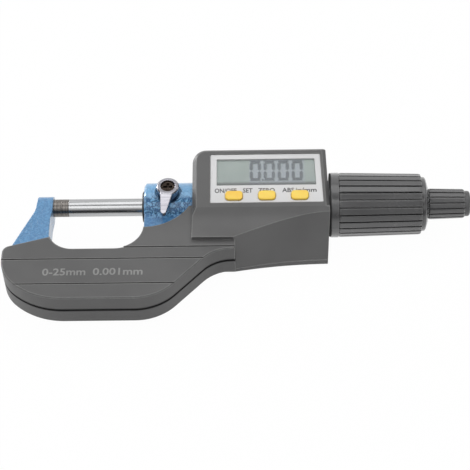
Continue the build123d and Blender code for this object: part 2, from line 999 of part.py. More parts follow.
def encoder_stator():
    return ring(spigot_end_x, spigot_end_x + stator_thick, barrel_bore_r, spindle_r + stator_room)


def sensor_ribbon():
    return sensor_slot(0)


def encoder_rotor():
    return ring(rotor_start_x, rotor_start_x + rotor_thick, rotor_r, spindle_r + hub_neck)


def rotor_hub():
    shoulder_x = rotor_start_x + rotor_thick
    hub = turned(
        (rotor_start_x, spindle_r + run_fit),
        (rotor_start_x, spindle_r + hub_neck),
        (shoulder_x, spindle_r + hub_neck),
        (shoulder_x, hub_r),
        (hub_end_x - slide_fit, hub_r),
        (hub_end_x - slide_fit, spindle_r + run_fit),
    )
    return hub - rotor_key()


def rotor_key():
    low = spindle_r - key_depth + loose_fit
    return box(key_xs, (-key_width / 2, key_width / 2), (low, hub_r - hub_neck))


def rotor_retainer():
    return ring(hub_end_x, hub_end_x + retainer_thick, barrel_bore_r, spindle_r + retainer_room)


def sleeve():
    barrel = turned(
        (boss_end_x, barrel_bore_r),
        (boss_end_x, barrel_r),
        (sleeve_start_x, barrel_r),
        (sleeve_start_x, sleeve_r),
        (sleeve_end_x - sleeve_chamfer, sleeve_r),
        (sleeve_end_x, sleeve_r - sleeve_chamfer),
        (sleeve_end_x, barrel_r),
        (nut_start_x, barrel_r),
        (nut_start_x, barrel_bore_r),
    )
    return barrel - sensor_slot(ribbon_room)


def thread_nut():
    nut = turned(
        (nut_start_x, thread_r + slide_fit),
        (nut_start_x, barrel_r),
        (nut_body_end_x, barrel_r),
        (nut_body_end_x, nut_collet_r),
        (nut_end_x, nut_collet_r),
        (nut_end_x, thread_r + slide_fit),
    )
    slot_xs = (nut_body_end_x - nut_slot_depth, far * 2)
    slot = box(slot_xs, (-nut_slot / 2, nut_slot / 2), (0, far)) & ring(0, far * 2, nut_collet_r)
    return nut - around(nut_slots, slot)


def adjusting_nut():
    width, depth = adjuster_notch
    start_x = nut_body_end_x + adjuster_gap
    nut = ring(start_x, nut_end_x - adjuster_end, adjuster_r, nut_collet_r)
    notch = box((nut_end_x - depth, far * 2), (-width / 2, width / 2), (adjuster_r - width, far))
    return nut - around(adjuster_notches, notch, 180 / adjuster_notches)


def spindle():
    bar = turned(
        (spindle_tip_x, 0),
        (spindle_tip_x, spindle_r),
        (thread_start_x, spindle_r),
        (thread_start_x + thread_lead_in, thread_r),
        (thread_end_x, thread_r),
        (thread_end_x + thread_relief, thread_r - thread_relief),
        (thimble_floor_x, thread_r - thread_relief),
        (thimble_floor_x, tail_r),
        (spindle_end_x, tail_r),
        (spindle_end_x, 0),
    )
    bar -= ring(ratchet_screw_x, spindle_end_x, ratchet_screw_r)
    half = key_width / 2 + slide_fit
    return bar - box((keyway_start_x, keyway_end_x), (-half, half), (spindle_r - key_depth, far))


def spindle_tip():
    return turned(
        (0, 0),
        (0, spindle_r - tip_chamfer),
        (tip_chamfer, spindle_r),
        (spindle_tip_x, spindle_r),
        (spindle_tip_x, 0),
    )


def thimble():
    groove_end_x = collar_end_x + collar_groove
    outside = polygon(
        [
            (thimble_start_x, 0),
            (thimble_start_x, thimble_r),
            (collar_end_x, thimble_r),
            (collar_end_x, thimble_r - collar_groove_depth),
            (groove_end_x, thimble_r - collar_groove_depth),
            (groove_end_x, rib_r),
            (rib_end_x, rib_end_r),
            (rib_end_x, end_ring_r),
            (end_ring_x, end_ring_r),
            (thimble_end_x, thimble_end_r),
            (thimble_end_x, 0),
        ],
        [0, thimble_edge, 0, 0, 0, 0, rib_edge, 0, end_ring_edge, end_ring_edge, 0],
    )
    body = revolve(outside, axis=Axis.X)
    body -= ring(0, thimble_floor_x, sleeve_r + slide_fit)
    body -= ring(0, far * 2, tail_r)
    length = rib_end_x - groove_end_x
    taper = math.degrees(math.atan2(rib_r - rib_end_r, length))
    cutter = Pos(length / 2, 0, 0) * Box(length * 2, rib_gap, rib_depth * 2)
    cutter = Pos(groove_end_x, 0, rib_r) * Rot(0, taper, 0) * cutter
    cutter &= box((collar_end_x, far * 2), (-far, far), (end_ring_r, far))
    return body - around(rib_count, cutter, rib_start)


def ratchet_base():
    neck_end_x = knob_start_x + knob_lip + slide_fit
    base = turned(
        (spindle_end_x, ratchet_screw_r + slide_fit),
        (spindle_end_x, knob_lip_r - slide_fit),
        (neck_end_x, knob_lip_r - slide_fit),
        (neck_end_x, knob_bore_r - slide_fit),
        (tooth_root_x, knob_bore_r - slide_fit),
        (tooth_root_x, ratchet_screw_r + slide_fit),
    )
    return base + ratchet_teeth(0)


def ratchet_teeth(start):
    outer = knob_bore_r - 2 * slide_fit
    xs = (tooth_root_x - tooth_sink, tooth_tip_x)
    tooth = box(xs, (-tooth_width / 2, tooth_width / 2), (tooth_inner_r, outer))
    return around(tooth_count, tooth, start)


def ratchet_ring():
    body = ring(tooth_tip_x, ratchet_ring_x, knob_bore_r - slide_fit, ratchet_screw_r + loose_fit)
    teeth = [Pos(tooth_sink, 0, 0) * piece for piece in ratchet_teeth(180 / tooth_count)]
    half = ring_lug_width / 2
    lug = box((tooth_tip_x, ratchet_ring_x), (-half, half), (tooth_inner_r, ring_lug_r))
    return body + teeth + around(ring_lugs, lug)


def ratchet_spring():
    length = ratchet_head_x - ratchet_ring_x - 2 * spring_wire_r
    path = Helix(pitch=length / spring_turns, height=length, radius=spring_r)
    start = path @ 0
    section = Plane(origin=start, z_dir=path % 0) * Circle(spring_wire_r)
    coil = sweep(section, path)
    return Pos(ratchet_ring_x + spring_wire_r, 0, 0) * Rot(0, 90, 0) * coil


def ratchet_screw():
    width, depth = ratchet_slot
    screw = ring(ratchet_screw_x, ratchet_head_x, ratchet_screw_r)
    screw += ring(ratchet_head_x, ratchet_head_end_x, ratchet_head_r)
    return screw - box((ratchet_head_end_x - depth, far * 2), (-width / 2, width / 2), (-far, far))


def ratchet_knob():
    lip_x = knob_start_x + knob_lip
    knob = turned(
        (knob_start_x, knob_lip_r),
        (knob_start_x, knob_r - knob_edge),
        (knob_start_x + knob_edge, knob_r),
        (knob_end_x - knob_edge, knob_end_r),
        (knob_end_x, knob_end_r - knob_edge),
        (knob_end_x, knob_bore_r),
        (lip_x, knob_bore_r),
        (lip_x, knob_lip_r),
    )
    length = knob_end_x - knob_start_x
    taper = math.degrees(math.atan2(knob_r - knob_end_r, length))
    cutter = Pos(length / 2, 0, 0) * Box(length * 2, flute_width, flute_depth * 2)
    cutter = Pos(knob_start_x, 0, knob_r) * Rot(0, taper, 0) * cutter
    knob -= around(flute_count, cutter, flute_start)
    half = ring_lug_width / 2 + slide_fit
    guide = box((tooth_tip_x - loose_fit, far * 2), (-half, half), (0, ring_lug_r + slide_fit))
    return knob - around(ring_lugs, guide)


def knob_cap():
    start_x = ratchet_head_end_x + screw_room
    outside = polygon(
        [
            (start_x, 0),
            (start_x, knob_bore_r),
            (knob_end_x, knob_bore_r),
            (knob_end_x, knob_cap_r),
            (knob_cap_end_x, knob_cap_r),
            (knob_cap_end_x, 0),
        ],
        [0, 0, 0, 0, knob_cap_edge, 0],
    )
    return revolve(outside, axis=Axis.X)


def lock_lever():
    top_z = lock_hub_z - loose_fit
    side = make_face(
        Polyline(
            (0, top_z),
            (lock_hub_r, top_z),
            (lock_arm_length, lock_arm_tip_z),
            (lock_arm_length, lock_arm_tip_z - lock_arm_thick),
            (lock_hub_r, top_z - lock_arm_thick),
            (0, top_z - lock_arm_thick),
            close=True,
        )
    )
    arm = extrude(Plane.XZ * side, lock_arm_width, both=True)
    tip_x = lock_arm_length - lock_arm_tip_width / 2
    plan = make_face(
        [
            Line((0, -lock_arm_width / 2), (tip_x, -lock_arm_tip_width / 2)),
            ThreePointArc(
                (tip_x, -lock_arm_tip_width / 2), (lock_arm_length, 0), (tip_x, lock_arm_tip_width / 2)
            ),
            Line((tip_x, lock_arm_tip_width / 2), (0, lock_arm_width / 2)),
            Line((0, lock_arm_width / 2), (0, -lock_arm_width / 2)),
        ]
    )
    arm &= slab(plan, 0, far)
    hub = post((0, 0), lock_hub_r, lock_floor_z + lock_floor_gap, lock_hub_z)
    hub = chamfer(edges_at(hub, lock_hub_z), lock_hub_edge)
    lever = hub + Rot(0, 0, -90 - lock_arm_angle) * arm
    lever -= post((0, 0), lock_recess_r, lock_recess_z, far)
    lever -= post((0, 0), lock_screw_r, 0, far)
    lever -= post((0, 0), lock_stud_r, 0, lock_stud_z[1])
    return Pos(lock_x, 0, 0) * lever


def lock_screw():
    head_z = lock_hub_z - lock_screw_sink
    head = post((0, 0), lock_recess_r - loose_fit, lock_recess_z, head_z)
    head = fillet(edges_at(head, head_z), lock_screw_edge)
    screw = head + post((0, 0), lock_screw_r, lock_screw_end_z, lock_recess_z)
    screw -= Pos(0, 0, head_z) * cross_recess(lock_recess, recess_depth)
    return Pos(lock_x, 0, 0) * screw


def lock_stud():
    stud = post((lock_x, 0), lock_stud_r, lock_stud_z[0], lock_stud_z[1])
    return stud - post((lock_x, 0), lock_screw_r, lock_screw_end_z, far)


def lock_pin():
    pin = post((lock_x, 0), lock_pin_r, 0, lock_stud_z[0] - slide_fit)
    return pin - ring(0, far, spindle_r + slide_fit)


pieces = [
    frame,
    anvil,
    anvil_tip,
    spindle_bush,
    frame_cover_front,
    frame_cover_rear,
    cover_screws,
    housing_front,
    housing_back,
    housing_screws,
    display_plate,
    lcd_window,
    lcd_panel,
    lcd_contacts,
    circuit_board,
    keypad,
    button_power,
    button_zero,
    button_mode,
    battery_cell,
    battery_contact_plus,
    battery_contact_minus,
    battery_cap,
    cap_seal,
    encoder_stator,
    sensor_ribbon,
    encoder_rotor,
    rotor_hub,
    rotor_key,
    rotor_retainer,
    sleeve,
    thread_nut,
    adjusting_nut,
    spindle,
    spindle_tip,
    thimble,
    ratchet_base,
    ratchet_ring,
    ratchet_spring,
    ratchet_screw,
    ratchet_knob,
    knob_cap,
    lock_lever,
    lock_screw,
    lock_stud,
    lock_pin,
]


def build_all():
    """Every piece, moved so that the origin is the middle of the underside of the whole object."""
    solids = {piece.__name__: piece() for piece in pieces}
    boxes = [solid.bounding_box() for solid in solids.values()]
    low = [min(getattr(b.min, axis) for b in boxes) for axis in "XYZ"]
    high = [max(getattr(b.max, axis) for b in boxes) for axis in "XYZ"]
    shift = (-(low[0] + high[0]) / 2, -(low[1] + high[1]) / 2, -low[2])
    return {name: Pos(*shift) * solid for name, solid in solids.items()}, shift


def main():
    os.makedirs("parts", exist_ok=True)
    solids, shift = build_all()
    for name, solid in solids.items():
        export_step(solid, f"parts/{name}.step")
    print("axis frame moved by", [round(value, 4) for value in shift])


if __name__ == "__main__":
    main()
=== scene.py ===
import bpy
import bmesh
import json
import math
from mathutils import Matrix, Vector


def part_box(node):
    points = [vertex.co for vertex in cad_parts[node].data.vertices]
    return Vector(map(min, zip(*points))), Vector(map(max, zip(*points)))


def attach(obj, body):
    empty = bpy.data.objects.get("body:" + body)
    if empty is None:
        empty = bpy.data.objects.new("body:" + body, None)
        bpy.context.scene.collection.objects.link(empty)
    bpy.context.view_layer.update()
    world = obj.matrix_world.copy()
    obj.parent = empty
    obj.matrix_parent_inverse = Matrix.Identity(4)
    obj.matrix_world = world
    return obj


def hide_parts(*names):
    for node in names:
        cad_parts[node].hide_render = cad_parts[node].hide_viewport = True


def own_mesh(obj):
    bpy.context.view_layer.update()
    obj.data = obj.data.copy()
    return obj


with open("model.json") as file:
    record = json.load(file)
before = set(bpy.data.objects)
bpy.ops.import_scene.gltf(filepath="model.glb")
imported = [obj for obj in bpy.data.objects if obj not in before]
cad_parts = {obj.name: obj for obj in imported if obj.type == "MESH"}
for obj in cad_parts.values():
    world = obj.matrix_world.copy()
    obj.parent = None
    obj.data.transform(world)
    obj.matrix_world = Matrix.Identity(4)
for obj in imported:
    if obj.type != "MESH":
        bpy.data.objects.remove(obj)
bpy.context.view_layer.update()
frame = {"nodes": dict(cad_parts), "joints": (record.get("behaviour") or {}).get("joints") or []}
nodes = frame["nodes"]
print("frame loaded:", len(nodes), "parts")


# Places taken from the frame

def nodePoints(name):
    return [v.co.copy() for v in nodes[name].data.vertices]


def jointNamed(name):
    return next(j for j in frame["joints"] if j["name"] == name)


spindlePoint = Vector(jointNamed("thimble_turn")["pos_m"])
inward = Vector(jointNamed("power_press")["axis"]).normalized()
outward = -inward
across = Vector((1, 0, 0))
upSlope = outward.cross(across).normalized()
platePoints = nodePoints("display_plate")
plateTop = max(p.dot(outward) for p in platePoints)
plateLow = min(p.dot(upSlope) for p in platePoints)
plateLeft = min(p.x for p in platePoints)


# A point over the display plate: from its lower left corner, and above its surface, in millimetres
def onFace(x, up, rise):
    reach = across * (plateLeft + x / 1000) + upSlope * (plateLow + up / 1000)
    return reach + outward * (plateTop + rise / 1000)


# A colour as a screen shows it, 0 to 255, turned into the light values that shaders use
def srgb(red, green, blue):
    def channel(v):
        v /= 255
        return v / 12.92 if v <= 0.04045 else ((v + 0.055) / 1.055) ** 2.4
    return (channel(red), channel(green), channel(blue), 1.0)


white = (1.0, 1.0, 1.0, 1.0)


# Node helpers; a term is a number, or a pair of a node and one of its outputs

def addNode(tree, kind, values=None, **settings):
    node = tree.nodes.new(kind)
    for key, value in settings.items():
        setattr(node, key, value)
    for key, value in (values or {}).items():
        node.inputs[key].default_value = value
    return node


def join(tree, source, output, target, entry):
    tree.links.new(source.outputs[output], target.inputs[entry])


def feed(tree, term, target, entry):
    if isinstance(term, tuple):
        join(tree, *term, target, entry)
    else:
        target.inputs[entry].default_value = term


def maths(tree, operation, *terms, clamp=False):
    node = addNode(tree, "ShaderNodeMath", operation=operation, use_clamp=clamp)
    for entry, term in enumerate(terms):
        feed(tree, term, node, entry)
    return node, "Value"


# A value carried from one range onto another and held at both ends
def remap(tree, term, low, high, toLow=0.0, toHigh=1.0):
    node = addNode(tree, "ShaderNodeMapRange", {
        "From Min": low, "From Max": high, "To Min": toLow, "To Max": toHigh,
    })
    feed(tree, term, node, "Value")
    return node, "Result"


def blend(tree, factor, low, high):
    node = addNode(tree, "ShaderNodeMix")
    for entry, term in (("Factor", factor), ("A", low), ("B", high)):
        feed(tree, term, node, entry)
    return node, "Result"


def objectPlace(tree):
    return addNode(tree, "ShaderNodeTexCoord"), "Object"


def axisOf(tree, place, axis):
    split = addNode(tree, "ShaderNodeSeparateXYZ")
    join(tree, *place, split, "Vector")
    return split, axis


def noise(tree, place, scale, detail=2.0, roughness=0.5, distortion=0.0):
    node = addNode(tree, "ShaderNodeTexNoise", {
        "Detail": detail, "Roughness": roughness, "Distortion": distortion,
    })
    join(tree, *place, node, "Vector")
    feed(tree, scale, node, "Scale")
    return node, "Fac"


def toneRamp(tree, term, dark, light, low=0.3, high=0.7):
    ramp = addNode(tree, "ShaderNodeValToRGB")
    for stop, place, color in zip(ramp.color_ramp.elements, (low, high), (dark, light)):
        stop.position = place
        stop.color = color
    join(tree, *term, ramp, "Fac")
    return ramp, "Color"


# A ramp of greys, from pairs of a place between 0 and 1 and the tone there
def greyRamp(tree, term, tones):
    ramp = addNode(tree, "ShaderNodeValToRGB")
    stops = ramp.color_ramp.elements
    while len(stops) < len(tones):
        stops.new(0.5)
    for stop, (place, tone) in zip(stops, tones):
        stop.position = place
        stop.color = (tone, tone, tone, 1.0)
    join(tree, *term, ramp, "Fac")
    return ramp, "Color"


# One colour laid over another by a mask
def layColor(tree, mask, base, top):
    mix = addNode(tree, "ShaderNodeMix", data_type="RGBA")
    baseEntry, topEntry = (i for i, s in enumerate(mix.inputs) if s.type == "RGBA")
    mix.inputs[topEntry].default_value = top
    join(tree, *mask, mix, "Factor")
    join(tree, *base, mix, baseEntry)
    return mix, next(i for i, s in enumerate(mix.outputs) if s.type == "RGBA")


# 1 on one side of a place along an object axis, 0 past the other; both places are in metres
def bandMask(tree, axis, dark, clear):
    return remap(tree, axisOf(tree, objectPlace(tree), axis), dark, clear, 1.0, 0.0)


# Effects that several materials share

def newGroup(name, inputs, outputs):
    group = bpy.data.node_groups.new(name, "ShaderNodeTree")
    for label, value in inputs:
        socket = group.interface.new_socket(label, in_out="INPUT", socket_type="NodeSocketFloat")
        socket.default_value = value
    for label, kind in outputs:
        group.interface.new_socket(label, in_out="OUTPUT", socket_type=kind)
    return group, group.nodes.new("NodeGroupInput"), group.nodes.new("NodeGroupOutput")


# Moulded or cast grain: a height for the bump, a slow change of tone and of roughness
def makeGrainGroup():
    group, entry, result = newGroup(
        "surfaceGrain",
        [("Grain Scale", 2500.0), ("Cloud Scale", 60.0), ("Roughness Spread", 0.08), ("Roughness", 0.5)],
        [("Height", "NodeSocketFloat"), ("Tone", "NodeSocketFloat"), ("Roughness", "NodeSocketFloat")],
    )
    place = objectPlace(group)
    grain = noise(group, place, (entry, "Grain Scale"), detail=3.0, roughness=0.6)
    cloud = noise(group, place, (entry, "Cloud Scale"))
    spread = maths(group, "MULTIPLY", maths(group, "SUBTRACT", cloud, 0.5), (entry, "Roughness Spread"))
    join(group, *grain, result, "Height")
    join(group, *cloud, result, "Tone")
    join(group, *maths(group, "ADD", spread, (entry, "Roughness")), result, "Roughness")
    return group


# Where an edge is, from a rounded normal against the flat one; the mask lays a lighter colour there, a
# painted highlight along edges
def makeEdgeGroup():
    group, entry, result = newGroup(
        "edgeHighlight",
        [("Radius", 0.0003), ("Gain", 6.0), ("Breakup Scale", 900.0)],
        [("Mask", "NodeSocketFloat"), ("Normal", "NodeSocketVector")],
    )
    bevel = addNode(group, "ShaderNodeBevel", samples=6)
    plain = addNode(group, "ShaderNodeNewGeometry")
    likeness = addNode(group, "ShaderNodeVectorMath", operation="DOT_PRODUCT")
    join(group, entry, "Radius", bevel, "Radius")
    join(group, bevel, "Normal", likeness, 0)
    join(group, plain, "Normal", likeness, 1)
    turned = maths(group, "SUBTRACT", 1.0, (likeness, "Value"))
    gained = maths(group, "MULTIPLY", turned, (entry, "Gain"))
    breakup = noise(group, objectPlace(group), (entry, "Breakup Scale"), detail=3.0)
    join(group, *maths(group, "MULTIPLY", gained, breakup, clamp=True), result, "Mask")
    join(group, bevel, "Normal", result, "Normal")
    return group


# Colour of the painted shade in grooves and along the covers' seam, and how it spreads
creviceShade = {
    "color": srgb(26, 26, 27),
    "open": 0.85,  # share of open sky at which the shade starts
    "closed": 0.4,  # and at which it is full
    "seamFade": 1.3,  # a seam's shade is gone at this many times its reach
}


# Painted shade in narrow grooves, from how little open sky a point sees: 1 deep in a groove, 0 on open
# surfaces
def makeCreviceGroup():
    group, entry, result = newGroup(
        "creviceShade", [("Distance", 0.0006), ("Amount", 0.9)], [("Mask", "NodeSocketFloat")]
    )
    sky = addNode(group, "ShaderNodeAmbientOcclusion", samples=4, only_local=True)
    join(group, entry, "Distance", sky, "Distance")
    depth = remap(group, (sky, "AO"), creviceShade["open"], creviceShade["closed"])
    join(group, *maths(group, "MULTIPLY", depth, (entry, "Amount")), result, "Mask")
    return group


streakStretch = (0.03, 1.0, 1.0)  # streaks are drawn out along X


# Fine rings left by grinding or turning, about an axis along X, and streaks along it
def makeLatheGroup():
    group, entry, result = newGroup(
        "latheLines",
        [("Ring Scale", 9000.0), ("Streak Scale", 500.0)],
        [("Height", "NodeSocketFloat"), ("Tone", "NodeSocketFloat")],
    )
    place = objectPlace(group)
    rings = addNode(group, "ShaderNodeTexNoise", {"Detail": 2.0}, noise_dimensions="1D")
    join(group, *axisOf(group, place, "X"), rings, "W")
    join(group, entry, "Ring Scale", rings, "Scale")
    drawnOut = addNode(group, "ShaderNodeMapping", {"Scale": streakStretch})
    join(group, *place, drawnOut, "Vector")
    streaks = noise(group, (drawnOut, "Vector"), (entry, "Streak Scale"), detail=3.0)
    join(group, rings, "Fac", result, "Height")
    join(group, *streaks, result, "Tone")
    return group


grainGroup = makeGrainGroup()
edgeGroup = makeEdgeGroup()
creviceGroup = makeCreviceGroup()
latheGroup = makeLatheGroup()


def useGroup(tree, group, values):
    return addNode(tree, "ShaderNodeGroup", values, node_tree=group)


# Materials

def newMaterial(name, rough=0.5, metal=0.0, coat=0.0):
    material = bpy.data.materials.new(name)
    material.use_nodes = True
    shader = material.node_tree.nodes["Principled BSDF"]
    shader.inputs["Roughness"].default_value = rough
    shader.inputs["Metallic"].default_value = metal
    shader.inputs["Coat Weight"].default_value = coat
    return material, material.node_tree, shader


def coverSurface(tree, shader, color, height, depth, normal=None):
    bump = addNode(tree, "ShaderNodeBump", {"Strength": 1.0, "Distance": depth})
    join(tree, *height, bump, "Height")
    if normal:
        join(tree, *normal, bump, "Normal")
    join(tree, *color, shader, "Base Color")
    join(tree, bump, "Normal", shader, "Normal")


def plasticMaterial(name, look):
    material, tree, shader = newMaterial(name, coat=look.get("coat", 0.0))
    shader.inputs["Coat Roughness"].default_value = look.get("coatRough", 0.03)
    grain = useGroup(tree, grainGroup, {
        "Grain Scale": look["grainScale"],
        "Cloud Scale": look.get("cloudScale", 60.0),
        "Roughness": look["rough"],
        "Roughness Spread": look.get("roughSpread", 0.1),
    })
    edge = useGroup(tree, edgeGroup, {
        "Radius": look.get("edgeRadius", 0.0003),
        "Gain": look.get("edgeGain", 1.2),
    })
    color = toneRamp(tree, (grain, "Tone"), look["dark"], look["light"])
    # Painted highlight: a lighter colour along the edges
    color = layColor(tree, (edge, "Mask"), color, look["edge"])
    if "crevice" in look:
        distance, amount = look["crevice"]
        # Painted shade in narrow grooves
        crevice = useGroup(tree, creviceGroup, {"Distance": distance, "Amount": amount})
        color = layColor(tree, (crevice, "Mask"), color, creviceShade["color"])
    # Painted shadow along the seam between the front and rear covers, a band along Z
    if "seam" in look:
        border, reach = look["seam"]
        shade = bandMask(tree, "Z", border + reach, border + reach * creviceShade["seamFade"])
        color = layColor(tree, shade, color, creviceShade["color"])
    coverSurface(tree, shader, color, (grain, "Height"), look["bump"], (edge, "Normal"))
    join(tree, grain, "Roughness", shader, "Roughness")
    return material


def steelMaterial(name, look):
    material, tree, shader = newMaterial(name, rough=look["rough"], metal=1.0)
    lathe = useGroup(tree, latheGroup, {
        "Ring Scale": look.get("ringScale", 9000.0),
        "Streak Scale": look.get("streakScale", 500.0),
    })
    edge = useGroup(tree, edgeGroup, {"Radius": look.get("edgeRadius", 0.0002), "Gain": 1.0})
    tone = (lathe, look.get("toneFrom", "Tone"))
    color = toneRamp(tree, tone, look["dark"], look["light"], 0.35, 0.65)
    coverSurface(tree, shader, color, (lathe, "Height"), look["bump"], (edge, "Normal"))
    return material


hammerFinish = {
    "hollow": srgb(40, 98, 152),
    "crest": srgb(112, 170, 214),
    "toneSpan": (0.15, 0.85),
    "edge": srgb(132, 186, 224),
    "edgeRadius": 0.0006,
    "edgeGain": 1.4,
    "primer": srgb(22, 24, 27),
    "shadedBelow": -0.0225,  # from the spindle's axis; below it the casting lies between its covers and is painted near black, a painted shade in the gap
    "primerFade": 0.0004,
    "veinScale": 640.0,
    "veinTwist": 0.6,
    "veinWidth": 0.12,
    "warpScale": 800.0,
    "warp": 0.0008,
    "fineScale": 1100.0,
    "fineShare": 0.4,
    "bump": 0.00045,
    "rough": 0.3,
    "coat": 0.8,
    "bossStart": -0.03,  # along X from the spindle's joint, and how far the boss blends into the arm
    "bossBlend": 0.004,
    "calm": 0.3,  # how much of the mottling is left on the arm and on the smooth sides of the boss
    "strong": 1.2,
    "band": (16.0, 57.0),  # the boss is mottled between these degrees about the spindle, 0 straight up
    "bandEdge": 5.0,
    "topHighlightTone": 0.8,  # tone of the boss above that band, in it and below it; 0 is hollow, 1 is crest; lighter above as a painted highlight, darker below as a painted shade
    "bandTone": 0.5,
    "lowShadeTone": 0.36,
    "crease": 0.25,
}


# Blue hammer-finish enamel: dimples with darker hollows in a band round the boss, calm elsewhere; above
# the band the boss is painted lighter as a highlight and below it darker as a shade, and between the
# covers the casting is painted near black as shade
def hammerMaterial():
    look = hammerFinish
    material, tree, shader = newMaterial("hammerBlue", rough=look["rough"], coat=look["coat"])
    place = objectPlace(tree)
    warp = noise(tree, place, look["warpScale"])[0]
    push = addNode(tree, "ShaderNodeVectorMath", {"Scale": look["warp"]}, operation="SCALE")
    moved = addNode(tree, "ShaderNodeVectorMath", operation="ADD")
    join(tree, warp, "Color", push, 0)
    join(tree, *place, moved, 0)
    join(tree, push, "Vector", moved, 1)
    veins = noise(tree, (moved, "Vector"), look["veinScale"], distortion=look["veinTwist"])
    valley = maths(tree, "ABSOLUTE", maths(tree, "SUBTRACT", veins, 0.5))
    dimple = remap(tree, valley, 0.0, look["veinWidth"])
    dimple[0].interpolation_type = "SMOOTHSTEP"
    fine = noise(tree, place, look["fineScale"], detail=3.0)
    height = blend(tree, look["fineShare"], dimple, fine)

    bossStart = spindlePoint.x + look["bossStart"]
    onBoss = remap(tree, axisOf(tree, place, "X"), bossStart, bossStart + look["bossBlend"])
    toFront = maths(tree, "SUBTRACT", spindlePoint.y, axisOf(tree, place, "Y"))
    overhead = maths(tree, "SUBTRACT", axisOf(tree, place, "Z"), spindlePoint.z)
    angle = maths(tree, "ARCTAN2", toFront, overhead)
    first, last = (math.radians(degrees) for degrees in look["band"])
    soft = math.radians(look["bandEdge"])
    pastFirst = remap(tree, angle, first - soft, first + soft)
    beforeLast = remap(tree, angle, last, last + soft, 1.0, 0.0)
    bossBand = maths(tree, "MULTIPLY", maths(tree, "MULTIPLY", pastFirst, beforeLast), onBoss)
    strength = remap(tree, bossBand, 0.0, 1.0, look["calm"], look["strong"])
    # Painted highlight above the band and painted shade below it
    upperTone = remap(tree, pastFirst, 0.0, 1.0, look["topHighlightTone"], look["bandTone"])
    bossTone = blend(tree, beforeLast, look["lowShadeTone"], upperTone)
    ownTone = blend(tree, onBoss, look["bandTone"], bossTone)
    relief = maths(tree, "MULTIPLY", maths(tree, "SUBTRACT", height, 0.5), strength)
    tone = maths(tree, "ADD", relief, ownTone)

    color = toneRamp(tree, tone, look["hollow"], look["crest"], *look["toneSpan"])
    edge = useGroup(tree, edgeGroup, {"Radius": look["edgeRadius"], "Gain": look["edgeGain"]})
    # Painted highlight: a lighter blue along the casting's edges
    color = layColor(tree, (edge, "Mask"), color, look["edge"])
    # Painted shade: the casting between the covers made near black
    border = spindlePoint.y + look["shadedBelow"]
    webShadeMask = bandMask(tree, "Y", border, border + look["primerFade"])
    color = layColor(tree, webShadeMask, color, look["primer"])
    step = maths(tree, "MULTIPLY", beforeLast, onBoss)
    raised = maths(tree, "MULTIPLY_ADD", step, look["crease"], relief)
    coverSurface(tree, shader, color, raised, look["bump"], (edge, "Normal"))
    return material


coverLow = min(p.z for p in nodePoints("frame_cover_front"))
rearTop = max(p.z for p in nodePoints("frame_cover_rear"))
